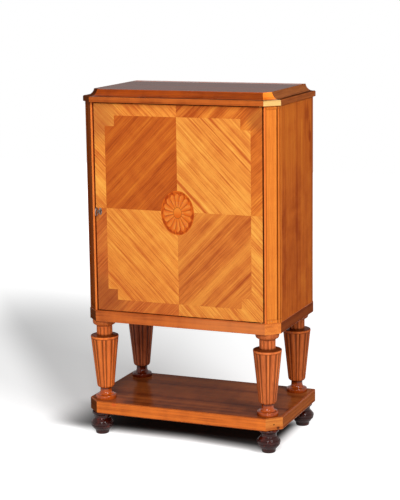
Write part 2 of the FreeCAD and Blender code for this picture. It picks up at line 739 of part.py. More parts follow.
def leaf(low, high, grow=0.0):
    """Flat hinge leaf, or the recess for it."""
    half = LEAF_WIDTH / 2 + grow
    end = PIVOT_X + BOSS_RADIUS
    return box(end - LEAF_LENGTH - grow, end + grow, PIVOT_Y - half, PIVOT_Y + half, low, high)


def leaf_pocket(low, high):
    """Pocket that a hinge leaf is let into."""
    return leaf(low, high, LEAF_CLEARANCE)


def hinges():
    """Knife hinges: frame leaves with a boss and a pin, door leaves with a bore."""
    boss = DOOR_END_GAP - BOSS_GAP
    t = LEAF_THICKNESS
    lower = leaf(CARCASE_LOW - t, CARCASE_LOW)
    lower = lower.fuse(upright_cylinder(BOSS_RADIUS, PIVOT_X, PIVOT_Y, CARCASE_LOW, CARCASE_LOW + boss))
    lower_pin = upright_cylinder(PIN_RADIUS, PIVOT_X, PIVOT_Y, CARCASE_LOW, DOOR_LOW + PIN_LENGTH)
    upper = leaf(CORNICE_LOW, CORNICE_LOW + t)
    upper = upper.fuse(upright_cylinder(BOSS_RADIUS, PIVOT_X, PIVOT_Y, CORNICE_LOW - boss, CORNICE_LOW))
    upper_pin = upright_cylinder(PIN_RADIUS, PIVOT_X, PIVOT_Y, DOOR_TOP - PIN_LENGTH, CORNICE_LOW)
    frame = [lower.fuse(lower_pin).removeSplitter(), upper.fuse(upper_pin).removeSplitter()]
    bore = upright_cylinder(PIN_RADIUS + PIN_CLEARANCE, PIVOT_X, PIVOT_Y, DOOR_LOW, DOOR_TOP)
    door = [leaf(DOOR_LOW, DOOR_LOW + t).cut(bore), leaf(DOOR_TOP - t, DOOR_TOP).cut(bore)]
    return {"hinge_leaves_frame": Part.makeCompound(frame), "hinge_leaves_door": Part.makeCompound(door)}


def door_cuts():
    """Everything let into the door: hinge leaves, pins, lock case and keyhole."""
    t = LEAF_THICKNESS + LEAF_CLEARANCE
    reach = PIN_LENGTH + 1.0
    pin = PIN_RADIUS + 0.5
    return [
        leaf_pocket(DOOR_LOW, DOOR_LOW + t),
        leaf_pocket(DOOR_TOP - t, DOOR_TOP),
        upright_cylinder(pin, PIVOT_X, PIVOT_Y, DOOR_LOW, DOOR_LOW + reach),
        upright_cylinder(pin, PIVOT_X, PIVOT_Y, DOOR_TOP - reach, DOOR_TOP),
        case_block(CASE_FIT),
        keyhole(CORE_FRONT_Y, CASE_FRONT_Y),
    ]


def door_body():
    """Core board with a lipping on each edge."""
    x = DOOR_HALF_WIDTH
    inner = x - DOOR_LIPPING
    low = DOOR_LOW + DOOR_LIPPING
    top = DOOR_TOP - DOOR_LIPPING
    y0, y1 = CORE_FRONT_Y, DOOR_BACK_Y
    blanks = {
        "door_core": box(-inner, inner, y0, y1, low, top),
        "door_lipping_left": box(-x, -inner, y0, y1, DOOR_LOW, DOOR_TOP),
        "door_lipping_right": box(inner, x, y0, y1, DOOR_LOW, DOOR_TOP),
        "door_lipping_bottom": box(-inner, inner, y0, y1, DOOR_LOW, low),
        "door_lipping_top": box(-inner, inner, y0, y1, top, DOOR_TOP),
    }
    return {name: blank.cut(door_cuts()) for name, blank in blanks.items()}


# ---------------------------------------------------------------- lock and key

def keyhole(y0, y1, grow=KEY_HOLE_CLEARANCE):
    """Keyhole through the door: a round hole over a slot."""
    radius = KEY_SHANK_RADIUS + grow
    half = KEY_BIT_THICKNESS / 2 + grow
    low = KEY_HEIGHT - KEY_BIT_REACH - grow
    eye = Part.makeCylinder(radius, y1 - y0, V(KEY_X, y0, KEY_HEIGHT), V(0, 1, 0))
    return eye.fuse(box(KEY_X - half, KEY_X + half, y0, y1, low, KEY_HEIGHT))


def case_block(grow):
    """Outer block of the lock case, flush with the door's edge and back."""
    low = KEY_HEIGHT - CASE_BELOW_KEY - grow
    high = KEY_HEIGHT + CASE_ABOVE_KEY + grow
    inner = CASE_WIDTH - DOOR_HALF_WIDTH + grow
    return box(-DOOR_HALF_WIDTH, inner, CASE_FRONT_Y - grow, DOOR_BACK_Y, low, high)


def lock_case():
    """Hollow lock case with a keyhole, a slot for the bolt and a drill pin for the key."""
    w = CASE_WALL
    room = box(w - DOOR_HALF_WIDTH, CASE_WIDTH - DOOR_HALF_WIDTH - w, CASE_FRONT_Y + w, DOOR_BACK_Y - w,
               KEY_HEIGHT - CASE_BELOW_KEY + w, KEY_HEIGHT + CASE_ABOVE_KEY - w)
    slot = box(-DOOR_HALF_WIDTH, w - DOOR_HALF_WIDTH, BOLT_FRONT_Y - 0.1, BOLT_BACK_Y + 0.1,
               BOLT_LOW - 0.1, BOLT_TOP + 0.1)
    pin_length = KEY_BORE_LENGTH - 1.0
    pin = Part.makeCylinder(DRILL_PIN_RADIUS, pin_length, V(KEY_X, DOOR_BACK_Y - w, KEY_HEIGHT), V(0, -1, 0))
    case = case_block(0).cut([room, slot, keyhole(CASE_FRONT_Y, CASE_FRONT_Y + w)])
    return case.fuse(pin).removeSplitter()


def lock_bolt(grow=0.0):
    """Lock bolt in its withdrawn place."""
    tip = BOLT_FIT - DOOR_HALF_WIDTH
    y0, y1 = BOLT_FRONT_Y - grow, BOLT_BACK_Y + grow
    return box(tip - grow, tip + BOLT_LENGTH, y0, y1, BOLT_LOW - grow, BOLT_TOP + grow)


def bolt_mortise():
    """Mortise in the left post that the thrown bolt enters."""
    c = MORTISE_CLEARANCE
    face = -OPENING_HALF_WIDTH
    return box(face - MORTISE_DEPTH, face, BOLT_FRONT_Y - c, BOLT_BACK_Y + c, BOLT_LOW - c, BOLT_TOP + c)


def strike_blank(grow):
    """Plate let into the left post round the mortise."""
    middle_y = (BOLT_FRONT_Y + BOLT_BACK_Y) / 2
    middle_z = (BOLT_LOW + BOLT_TOP) / 2
    y = STRIKE_WIDTH / 2 + grow
    z = STRIKE_HEIGHT / 2 + grow
    face = -OPENING_HALF_WIDTH
    return box(face - STRIKE_THICKNESS - grow, face, middle_y - y, middle_y + y, middle_z - z, middle_z + z)


def strike_recess():
    """Recess in the left post for the strike plate."""
    return strike_blank(0.1)


def key():
    """Pipe key standing in the lock, with its oval bow upright."""
    tip = DOOR_BACK_Y - CASE_WALL - BOLT_FIT
    bow_y = FACE_Y - KEY_REACH + BOW_HALF_WIDTH
    neck_y = bow_y + BOW_HALF_WIDTH - BOW_BAR / 2
    back = V(0, 1, 0)
    half = BOW_BAR / 2
    centre = V(KEY_X - half, bow_y, KEY_HEIGHT)
    rings = []
    for trim in (0, BOW_BAR):
        tall = V(0, 0, BOW_HALF_HEIGHT - trim)
        wide = V(0, BOW_HALF_WIDTH - trim, 0)
        rings.append(Part.Face(Part.Wire(Part.Ellipse(centre + tall, centre + wide, centre).toShape())))
    bow = rings[0].cut(rings[1]).extrude(V(BOW_BAR, 0, 0))
    start = V(KEY_X, neck_y, KEY_HEIGHT)
    shank = Part.makeCylinder(KEY_SHANK_RADIUS, tip - neck_y, start, back)
    bit = box(KEY_X - KEY_BIT_THICKNESS / 2, KEY_X + KEY_BIT_THICKNESS / 2, BOLT_FRONT_Y + 0.2, tip,
              KEY_HEIGHT - KEY_BIT_REACH, KEY_HEIGHT)
    bore_radius = DRILL_PIN_RADIUS + DRILL_PIN_CLEARANCE
    bore = Part.makeCylinder(bore_radius, KEY_BORE_LENGTH, V(KEY_X, tip, KEY_HEIGHT), V(0, -1, 0))
    return bow.fuse([shank, bit]).cut(bore).removeSplitter()


def lock_parts():
    """Case, bolt, key, escutcheon and strike plate."""
    escutcheon = oval(KEY_X, KEY_HEIGHT - 2.5, ESCUTCHEON_HALF_WIDTH, ESCUTCHEON_HALF_HEIGHT,
                      FACE_Y - ESCUTCHEON_THICKNESS, FACE_Y)
    strike = strike_blank(0).cut(lock_bolt(MORTISE_CLEARANCE / 2).translated(V(-MORTISE_DEPTH, 0, 0)))
    return {
        "lock_case": lock_case(),
        "lock_bolt": lock_bolt(),
        "key": key(),
        "escutcheon": escutcheon.cut(keyhole(FACE_Y - ESCUTCHEON_THICKNESS, FACE_Y)),
        "strike_plate": strike,
    }


def main():
    os.makedirs("parts", exist_ok=True)
    parts = {}
    for group in (legs_and_feet, lower_shelf, base_frame, carcase, cornice, door_body, door_veneers,
                  hinges, lock_parts):
        parts.update(group())
    for name, shape in parts.items():
        shape.exportStep("parts/" + name + ".step")


main()
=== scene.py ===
"""A drinks cabinet with one veneered door, on a low stand with turned legs and feet.

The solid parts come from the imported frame. This file turns the legs and feet, lays the
veneers' grain, polishes the wood, makes the metalwork and sets the stage.
"""

import math
from functools import partialmethod

import bmesh
import bpy
from bpy.props import FloatProperty, FloatVectorProperty, IntProperty, PointerProperty
from bpy.types import Operator, Panel, PropertyGroup
from mathutils import Matrix, Quaternion, Vector
from mathutils.bvhtree import BVHTree


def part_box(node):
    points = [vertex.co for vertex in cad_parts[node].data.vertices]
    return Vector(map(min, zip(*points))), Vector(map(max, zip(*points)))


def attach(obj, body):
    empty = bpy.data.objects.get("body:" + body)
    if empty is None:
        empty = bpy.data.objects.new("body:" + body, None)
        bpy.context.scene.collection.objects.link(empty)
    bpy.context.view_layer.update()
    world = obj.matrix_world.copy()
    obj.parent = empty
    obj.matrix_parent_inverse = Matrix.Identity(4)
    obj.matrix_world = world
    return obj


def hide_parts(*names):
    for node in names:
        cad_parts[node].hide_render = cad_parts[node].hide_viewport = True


bl_info = {
    "name": "Drinks Cabinet on Turned Legs",
    "version": (1, 0, 0),
    "blender": (4, 5, 0),
    "location": "3D View > Sidebar > Cabinet",
    "description": "Turns the legs, lays the veneers and sets the stage for a drinks cabinet",
    "category": "Object",
}

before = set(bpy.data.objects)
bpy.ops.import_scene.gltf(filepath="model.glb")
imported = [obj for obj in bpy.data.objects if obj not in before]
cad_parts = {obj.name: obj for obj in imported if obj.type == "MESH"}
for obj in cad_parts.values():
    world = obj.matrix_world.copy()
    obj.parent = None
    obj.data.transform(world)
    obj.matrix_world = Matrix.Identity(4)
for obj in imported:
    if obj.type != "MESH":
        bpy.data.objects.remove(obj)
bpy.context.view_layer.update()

MM = 0.001
SHELF_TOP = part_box("shelf_board")[1].z
DOOR_CENTRE = Vector((0.0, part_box("medallion")[0].y, 0.70105))
CORNERS = ("front_left", "front_right", "rear_left", "rear_right")
ALONG_X, ALONG_Y, ALONG_Z = (1, 0, 0), (0, 1, 0), (0, 0, 1)
FRONT, RIGHT_SIDE, UP = (0, -1, 0), (1, 0, 0), (0, 0, 1)
LEG_SIDES, FOOT_SIDES = 192, 72
LEG_STEP = 360 / LEG_SIDES
FIRST_GROOVE = 22.5
DULL = {"coat": 0.02, "shine": 0.0}
WOODS = {
    "golden": {"pale": "#F7B14E", "middle": "#E78F3B", "deep": "#C15922"},
    "russet": {"pale": "#E08434", "middle": "#CA6829", "deep": "#A2461A"},
    "stand": {"pale": "#E2803A", "middle": "#C26730", "deep": "#863C1A"},
}


def linear(code):
    """A colour of six hex digits as the linear values that shaders use."""
    parts = [int(code[at : at + 2], 16) / 255 for at in (1, 3, 5)]
    return tuple(
        part / 12.92 if part <= 0.04045 else ((part + 0.055) / 1.055) ** 2.4
        for part in parts
    )


KNOT = linear("#3A1408")


def scaled(colour, level):
    """A colour made lighter or darker."""
    return tuple(part * level for part in colour)


def tint(name, code, words):
    """A colour that a user may change in the sidebar."""
    return FloatVectorProperty(
        name=name, description=words, subtype="COLOR", size=3, min=0, max=1,
        default=linear(code),
    )


def length(name, value, words):
    """A length that a user may change in the sidebar."""
    return FloatProperty(
        name=name, description=words, default=value, min=0.0001, unit="LENGTH",
        subtype="DISTANCE",
    )


class CABINET_PG_turning(PropertyGroup):
    """Sizes of the turned legs and feet."""

    leg_disc: length("Leg disc", 0.0312, "Radius of the disc that the leg stands on")
    leg_waist: length("Leg waist", 0.0172, "Radius of the thin waist above the disc")
    leg_cup: length("Leg cup", 0.0266, "Radius at the lower end of the reeded taper")
    leg_taper: length("Leg taper", 0.0416, "Radius at the upper end of the reeded taper")
    leg_rim: length("Leg rim", 0.0425, "Radius of the thin rim above the reeds")
    leg_neck: length("Leg neck", 0.024, "Radius of the fluted neck")
    leg_capital: length("Leg capital", 0.035, "Radius of the capital under the frame")
    reeds: IntProperty(
        name="Reeds", description="Number of broad reeds round the taper", default=8, min=4
    )
    flutes: IntProperty(
        name="Flutes", description="Number of flutes round the neck", default=12, min=4
    )
    flute_depth: length("Flute depth", 0.0016, "Depth of a flute in the neck")
    foot_belly: length("Foot belly", 0.0349, "Largest radius of the foot")
    foot_waist: length("Foot waist", 0.0232, "Radius of the hollow above the belly")
    foot_collar: length("Foot collar", 0.03, "Radius of the collar under the shelf")


class CABINET_PG_finish(PropertyGroup):
    """Colours of the woods and metals."""

    foot_black: tint("Feet", "#330C07", "Dark polish of the feet")
    brass: tint("Brass", "#B8934E", "Aged brass of the hinges and plates")
    bronze: tint("Bronze", "#8A7E78", "Dark bronze of the key and its plate")
    steel: tint("Steel", "#8C8A84", "Steel of the lock")


for _kind, _codes in WOODS.items():
    for _level, _code in _codes.items():
        CABINET_PG_finish.__annotations__[f"{_kind}_{_level}"] = tint(
            f"{_kind.title()}, {_level}", _code, f"The {_level} tone of the {_kind} wood"
        )


class CABINET_PG_stage(PropertyGroup):
    """Levels of the lamps and the surroundings."""

    key_level: FloatProperty(
        name="Key lamp", description="Strength of the large lamp in front",
        default=104.0, min=0, unit="POWER",
    )
    side_level: FloatProperty(
        name="Side lamp", description="Strength of the lamp at the front right",
        default=100.0, min=0, unit="POWER",
    )
    around: FloatProperty(
        name="Surroundings", description="Light that comes from all round", default=0.15,
        min=0, max=1, subtype="FACTOR",
    )


# Shader maths


class Flow:
    """A socket of a material. Sums written on it become Math nodes."""

    def __init__(self, finish, socket):
        self.finish, self.socket = finish, socket

    def _sum(self, how, other=0.0, swapped=False):
        pair = (other, self) if swapped else (self, other)
        return self.finish.node("Math", dict(enumerate(pair)), {"operation": how})

    def __rsub__(self, other):
        return self._sum("SUBTRACT", other, swapped=True)

    __add__ = partialmethod(_sum, "ADD")
    __sub__ = partialmethod(_sum, "SUBTRACT")
    __mul__ = partialmethod(_sum, "MULTIPLY")
    __truediv__ = partialmethod(_sum, "DIVIDE")
    __pow__ = partialmethod(_sum, "POWER")
    __abs__ = partialmethod(_sum, "ABSOLUTE")
    larger = partialmethod(_sum, "MAXIMUM")
    smaller = partialmethod(_sum, "MINIMUM")
    part = partialmethod(_sum, "FRACT")
    angle = partialmethod(_sum, "ARCTAN2")


class Finish:
    """The nodes of a procedural material, or of the surroundings."""

    def __init__(self, owner):
        if isinstance(owner, str):
            owner = bpy.data.materials.new(owner)
        self.owner = owner
        owner.use_nodes = True
        self.tree = owner.node_tree
        self.tree.nodes.clear()

    def node(self, kind, sockets=None, settings=None, out=None):
        """Adds a node with its settings and its sockets' values or links."""
        made = self.tree.nodes.new("ShaderNode" + kind)
        for key, value in (settings or {}).items():
            if key == "stops":
                stops = made.color_ramp.elements
                while len(stops) < len(value):
                    stops.new(0.5)
                for stop, (place, colour) in zip(stops, value):
                    stop.position = place
                    stop.color = (*colour, 1.0)
            else:
                setattr(made, key, value)
        for key, value in (sockets or {}).items():
            socket = (
                made.inputs[key]
                if isinstance(key, int)
                else next(s for s in made.inputs if key in (s.identifier, s.name))
            )
            if isinstance(value, Flow):
                self.tree.links.new(value.socket, socket)
            elif socket.type == "RGBA" and len(value) == 3:
                socket.default_value = (*value, 1.0)
            else:
                socket.default_value = value
        for socket in made.outputs:
            if out in (socket.identifier, socket.name) if out else socket.enabled:
                return Flow(self, socket)
        return None

    def blend(self, factor, first, second, how="MIX"):
        """Mixes two colours."""
        return self.node(
            "Mix", {"Factor_Float": factor, "A_Color": first, "B_Color": second},
            {"data_type": "RGBA", "blend_type": how, "clamp_result": False}, "Result_Color",
        )

    def vector(self, how, *parts, out=None):
        """Sums on vectors."""
        return self.node("VectorMath", dict(enumerate(parts)), {"operation": how}, out)

    def rise(self, value, low, high, start=0.0, end=1.0):
        """A soft step of a number from start at low to end at high."""
        return self.node(
            "MapRange",
            {"Value": value, "From Min": low, "From Max": high, "To Min": start, "To Max": end},
            {"interpolation_type": "SMOOTHSTEP"},
        )

    def noise(self, place, scale, seed, detail=2.0, roughness=0.5):
        """Noise with its own scale along each direction."""
        moved = self.vector(
            "MULTIPLY_ADD", place, scale, (seed * 3.7, seed * 1.9 + 11, seed * 5.3)
        )
        return self.node(
            "TexNoise",
            {"Vector": moved, "Scale": 1.0, "Detail": detail, "Roughness": roughness},
            {"noise_dimensions": "3D"},
        )

    def spot(self):
        """A point of the piece, in metres."""
        return self.node("TexCoord", out="Object")

    def split(self, place):
        """The three parts of a vector."""
        axes = self.node("SeparateXYZ", {0: place}).socket.node
        return [Flow(self, socket) for socket in axes.outputs]

    def bump(self, height, strength, distance=0.0002):
        """Fine relief."""
        return self.node("Bump", {"Strength": strength, "Distance": distance, "Height": height})

    def surface(self, **sockets):
        """Ends the material with one shader."""
        values = {key.replace("_", " "): value for key, value in sockets.items()}
        self.node("OutputMaterial", {"Surface": self.node("BsdfPrincipled", values)})
        return self.owner


def wood(
    name, along, face, tones, seed, centre=(0, 0, 0), broad=0.5, ribbon=0.9, fibre=0.5,
    mottle=0.12, wander=0.006, streaks=(), clouds=(), lines=(), levels=(), marks=(),
    above=(), hollow=False, gloss=0.3, coat=0.04, soft=0.14, ringed=(), shine=0.05,
    widths=(0.07, 0.011, 0.0021),
):
    """Polished wood whose fibres run along one direction.

    tones are the deep, middle and pale colours. broad, ribbon and fibre are the strengths
    of the three sizes of stripe, whose widths are in metres. A streak is a place across
    the grain, a half width and a strength, and a line is a dark streak that doesn't
    wander. A level is a dark line at a height. A cloud is a place along and across the
    grain, two half widths and a strength. A mark is a spot, its size, its colour and a
    strength. above is a height and what the colour is multiplied by over it. pooled is two
    heights between which the coat is as thick as its third number.
    """
    grain = Finish(name)
    along, face = Vector(along).normalized(), Vector(face).normalized()
    turn = Matrix((along, face.cross(along).normalized(), face))
    spot = grain.spot()
    place = grain.node(
        "Mapping",
        {"Vector": spot, "Rotation": turn.to_euler("XYZ"), "Location": -(turn @ Vector(centre))},
        {"vector_type": "POINT"},
    )
    drift = (grain.noise(place, (1.5, 3, 3), seed + 0.5, 0.0) - 0.5) * wander
    bent = grain.vector("ADD", place, grain.node("CombineXYZ", {"Y": drift, "Z": drift}))
    wide, middling, narrow = widths
    bands = grain.noise(bent, (0.3, 1 / wide, 0.5 / wide), seed, 1.0)
    ribbons = grain.noise(bent, (0.7, 1 / middling, 0.6 / middling), seed + 2, 2.0)
    fibres = grain.noise(bent, (13, 1 / narrow, 1 / narrow), seed + 4, 2.0)
    flames = grain.noise(bent, (24, 14, 14), seed + 6, 2.0)
    pores = grain.noise(bent, (150, 1900, 1900), seed + 8, 1.0)
    tone = (
        (bands - 0.5) * (broad * 2)
        + (ribbons - 0.5) * (ribbon * 1.6)
        + (fibres - 0.5) * (fibre * 1.4)
        + (flames - 0.5) * (mottle * 2)
        + 0.5
    )
    for at, half, strength in streaks:
        tone = tone + grain.rise(abs(grain.split(bent)[1] - at), 0.0, half, strength, 0.0)
    for at, side, length_half, side_half, strength in clouds:
        run, level, _ = grain.split(bent)
        far = ((run - at) / length_half) ** 2 + ((level - side) / side_half) ** 2
        tone = tone + grain.rise(far + (flames - 0.5) * 2.5, 0.0, 1.2, strength, 0.0)
    deep, middle, pale = tones
    stops = [(0.0, deep), (0.5, middle), (1.0, pale)]
    colour = grain.node("ValToRGB", {"Fac": tone}, {"stops": stops}, "Color")
    if above:
        height, over = above
        up = grain.split(spot)[2]
        over = grain.blend(grain.rise(up, height - 0.0006, height + 0.0006), (1, 1, 1), over)
        colour = grain.blend(1.0, colour, over, "MULTIPLY")
    flecks = grain.rise(pores, 0.6, 0.72)
    colour = grain.blend(flecks * 0.3, colour, scaled(deep, 0.45))
    for at, half, strength in lines:
        line = grain.rise(abs(grain.split(place)[1] - at), half * 0.5, half, strength, 0.0)
        colour = grain.blend(line, colour, scaled(deep, 0.3))
    for at, half, strength in levels:
        off = abs(grain.split(spot)[2] - at) + (fibres - 0.5) * half
        line = grain.rise(off, half * 0.5, half, strength, 0.0)
        colour = grain.blend(line, colour, scaled(deep, 0.3))
    for heart, size, hue, strength in marks:
        gap = grain.vector("DISTANCE", spot, heart, out="Value")
        worn = grain.rise(gap + (fibres - 0.5) * (size * 0.8), size * 0.35, size, strength, 0.0)
        colour = grain.blend(worn, colour, hue)
    # Dark where the hollow attribute is set: dark polish and painted shade in the grooves, painted
    # shade on the shoulder and the capital.
    if hollow:
        dark = grain.node("Attribute", None, {"attribute_name": "hollow"}, "Fac")
        colour = grain.blend(dark * 0.92, colour, scaled(deep, 0.22))
    if ringed:
        low, high, thick = ringed
        up = grain.split(spot)[2]
        coat = grain.rise(up, low - 2 * MM, low, coat, thick).smaller(
            grain.rise(up, high, high + 2 * MM, thick, coat)
        )
    return grain.surface(
        Base_Color=colour,
        Roughness=grain.rise(flames + (fibres - 0.5) * 0.3, 0.3, 0.7, gloss - 0.05, gloss + 0.08),
        Normal=grain.bump(fibres * 0.6 - flecks, 0.25), Coat_Weight=coat,
        Coat_Roughness=soft, Specular_IOR_Level=shine,
    )


def foot_polish(name, colour):
    """Deep glossy polish over dark turned wood."""
    polish = Finish(name)
    place = polish.spot()
    rings = polish.noise(place, (8, 8, 900), 3.0, 2.0)
    cloud = polish.noise(place, (55, 55, 80), 5.0, 3.0)
    wear = polish.rise(cloud, 0.52, 0.72)
    return polish.surface(
        Base_Color=polish.blend(wear * 0.5, colour, linear("#7A220E")),
        Roughness=polish.rise(cloud, 0.3, 0.7, 0.3, 0.45), Normal=polish.bump(rings, 0.2),
        Coat_Weight=0.5, Coat_Roughness=0.04, Specular_IOR_Level=0.0,
    )


def metal(name, colour, dull, tarnish):
    """Aged metal: cloudy tarnish, fine rubbing marks and small pits."""
    plate = Finish(name)
    place = plate.spot()
    cloud = plate.noise(place, (110, 110, 110), 2.0, 4.0, 0.6)
    rubs = plate.noise(place, (90, 90, 2600), 7.0, 2.0)
    pits = plate.noise(place, (900, 900, 900), 9.0, 1.0)
    patina = plate.rise(cloud, 0.42, 0.66)
    shade = plate.blend(patina * tarnish, colour, scaled(colour, 0.32))
    shade = plate.blend(plate.rise(pits, 0.64, 0.72) * 0.6, shade, (0.02, 0.014, 0.01))
    return plate.surface(
        Base_Color=shade, Metallic=1.0, Normal=plate.bump(rubs, 0.15, 0.0001),
        Roughness=plate.rise(cloud, 0.35, 0.7, dull, dull + 0.25),
    )


def oval_patera(name, box, tones, petals=16):
    """An oval marquetry patera: petals round a boss, each shaded at one edge, in a ring."""
    inlay = Finish(name)
    low, high = box
    centre = (low + high) / 2
    half = (high - low) / 2
    place = inlay.spot()
    fibres = inlay.noise(place, (260, 60, 40), 1.0, 3.0)
    cloud = inlay.noise(place, (70, 70, 70), 4.0, 3.0)
    specks = inlay.noise(place, (520, 520, 300), 6.0, 2.0)
    east, _, north = inlay.split(place)
    east = (east - centre.x) / half.x
    north = (north - centre.z) / half.z
    reach = (east * east + north * north) ** 0.5
    turn = (north.angle(east) / (2 * math.pi) + 1.0 + 0.5 / petals) * petals
    petal = turn.part()
    middle = abs(petal - 0.5) * 2
    inside = inlay.rise(reach - (0.86 - middle * middle * 0.13), -0.012, 0.012, 1.0, 0.0)
    deep, mid, pale = tones
    seam_dark = scaled(deep, 0.3)
    ground = inlay.blend(inlay.rise(cloud + (fibres - 0.5) * 0.7, 0.35, 0.65), deep, mid)
    leafy = inlay.blend(inlay.rise(petal, 0.05, 0.85), mid, pale)
    leafy = inlay.blend(inlay.rise(petal, 0.30, 0.02) * 0.6, leafy, scaled(deep, 0.5))
    leafy = inlay.blend(inlay.rise(cloud, 0.42, 0.62) * 0.5, leafy, mid)
    leafy = inlay.blend(inlay.rise(specks, 0.56, 0.7) * 0.45, leafy, linear("#C98C70"))
    shade = inlay.blend(inside, ground, leafy)
    shade = inlay.blend(inlay.rise(middle, 0.93, 0.99) * inside * 0.5, shade, seam_dark)
    boss = inlay.rise(reach, 0.235, 0.255, 1.0, 0.0)
    shade = inlay.blend(boss, shade, inlay.blend(inlay.rise(north, -0.2, 0.2), mid, pale))
    ring = inlay.rise(abs(reach - 0.245), 0.008, 0.02, 1.0, 0.0)
    rim = inlay.rise(abs(reach - 0.925), 0.006, 0.016, 1.0, 0.0)
    return inlay.surface(
        Base_Color=inlay.blend(ring.larger(rim) * 0.55, shade, seam_dark), Roughness=0.32,
        Normal=inlay.bump(fibres, 0.15), Coat_Weight=0.04, Coat_Roughness=0.14,
        Specular_IOR_Level=0.05,
    )


# Hand work on meshes


def grab(*pieces):
    """Leaves edit mode and selects only these pieces, the first of them active."""
    if bpy.context.object and bpy.context.object.mode != "OBJECT":
        bpy.ops.object.mode_set(mode="OBJECT")
    bpy.ops.object.select_all(action="DESELECT")
    for piece in pieces:
        piece.select_set(True)
        bpy.context.view_layer.objects.active = pieces[0]


def edit_all():
    """Enters edit mode with everything selected."""
    bpy.ops.object.mode_set(mode="EDIT")
    bpy.ops.mesh.select_all(action="SELECT")


def pick(piece, kind, wanted):
    """Selects the vertices or edges of the piece in edit mode that are wanted."""
    bpy.ops.mesh.select_mode(type={"verts": "VERT", "edges": "EDGE"}[kind])
    bpy.ops.mesh.select_all(action="DESELECT")
    shape = bmesh.from_edit_mesh(piece.data)
    found = [item for item in getattr(shape, kind) if wanted(item)]
    for item in found:
        item.select_set(True)
    shape.select_flush_mode()
    bmesh.update_edit_mesh(piece.data)
    return bool(found)


def settle(piece, name, smooth=35):
    """Names a finished piece, puts its place in its mesh and smooths its rounds."""
    grab(piece)
    piece.name = piece.data.name = name
    bpy.ops.object.transform_apply(location=True, rotation=True, scale=True)
    bpy.ops.object.shade_smooth_by_angle(angle=math.radians(smooth))
    return piece


def turned(name, centre, stations, sides, base=0.0):
    """Turns a round piece: a disc is drawn up and opened or closed at each station.

    A station is a height over the base and a radius, in millimetres.
    """
    grab()
    x, y = centre[:2]
    (height, radius), *rest = [(base + height * MM, r * MM) for height, r in stations]
    bpy.ops.mesh.primitive_circle_add(
        vertices=sides, radius=radius, fill_type="NGON", location=(x, y, height)
    )
    piece = bpy.context.object
    edit_all()
    for next_height, next_radius in rest:
        bpy.ops.mesh.extrude_region_move(
            TRANSFORM_OT_translate={"value": (0, 0, next_height - height)}
        )
        ratio = next_radius / radius
        bpy.ops.transform.resize(value=(ratio, ratio, 1), center_override=(x, y, next_height))
        height, radius = next_height, next_radius
    bpy.ops.mesh.select_mode(type="EDGE")
    bpy.ops.mesh.select_all(action="DESELECT")
    bpy.ops.mesh.select_non_manifold()
    bpy.ops.mesh.edge_face_add()
    bpy.ops.mesh.select_all(action="SELECT")
    bpy.ops.mesh.normals_make_consistent(inside=False)
    return settle(piece, name)


def quarter(start, end, outward_first, steps):
    """Stations of a quarter round from start to end."""
    (low, narrow), (high, broad) = start, end
    made = []
    for step in range(1, steps + 1):
        turn = math.pi / 2 * step / steps
        swell, climb = math.sin(turn), 1 - math.cos(turn)
        if not outward_first:
            swell, climb = climb, swell
        made.append((low + (high - low) * climb, narrow + (broad - narrow) * swell))
    return made


def half_round(start, end, swell, steps):
    """Stations of a bead from start to end that stands out by swell."""
    (low, first), (high, last) = start, end
    made = []
    for step in range(1, steps + 1):
        turn = math.pi * step / steps
        share = (1 - math.cos(turn)) / 2
        radius = first + (last - first) * share + swell * math.sin(turn)
        made.append((low + (high - low) * share, radius))
    return made


def straight(start, end, steps):
    """Stations of a straight run."""
    (low, first), (high, last) = start, end
    return [
        (low + (high - low) * step / steps, first + (last - first) * step / steps)
        for step in range(1, steps + 1)
    ]


def copy_to(piece, name, move):
    """A copy of the piece with its own mesh, moved to another place."""
    grab(piece)
    bpy.ops.object.duplicate(linked=False)
    twin = bpy.context.object
    bpy.ops.transform.translate(value=move)
    twin.name = twin.data.name = name
    bpy.ops.object.transform_apply(location=True, rotation=True, scale=True)
    return twin


def at_corners(kind, make, finish):
    """Makes one turned piece, copies it to the other corners and finishes all four."""
    first, home = None, None
    for corner in CORNERS:
        low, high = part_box(f"{kind}_{corner}")
        centre = (low + high) / 2
        name = f"turned_{kind}_{corner}"
        if first is None:
            first, home = make(name, centre), centre
        else:
            copy_to(first, name, (centre.x - home.x, centre.y - home.y, 0))
        dress([name], finish(corner))
    for corner in CORNERS:
        piece = bpy.data.objects[f"turned_{kind}_{corner}"]
        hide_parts(f"{kind}_{corner}")
        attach(piece, "carcase")


def free_arrises(node):
    """A test for the sharp outer edges of a board that no neighbour covers."""
    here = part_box(node)
    shortest, flattest, touching = 1.5 * MM, math.radians(38), 0.2 * MM
    near = []
    for name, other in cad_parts.items():
        low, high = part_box(name)
        apart = any(low[k] > here[1][k] + MM or high[k] < here[0][k] - MM for k in range(3))
        if name != node and not apart:
            spots = [vert.co for vert in other.data.vertices]
            near.append(
                BVHTree.FromPolygons(spots, [face.vertices for face in other.data.polygons])
            )

    def free(edge):
        if not edge.is_manifold or not edge.is_convex or edge.calc_length() < shortest:
            return False
        if edge.calc_face_angle() < flattest:
            return False
        middle = (edge.verts[0].co + edge.verts[1].co) / 2
        return all(tree.find_nearest(middle, touching)[0] is None for tree in near)

    return free


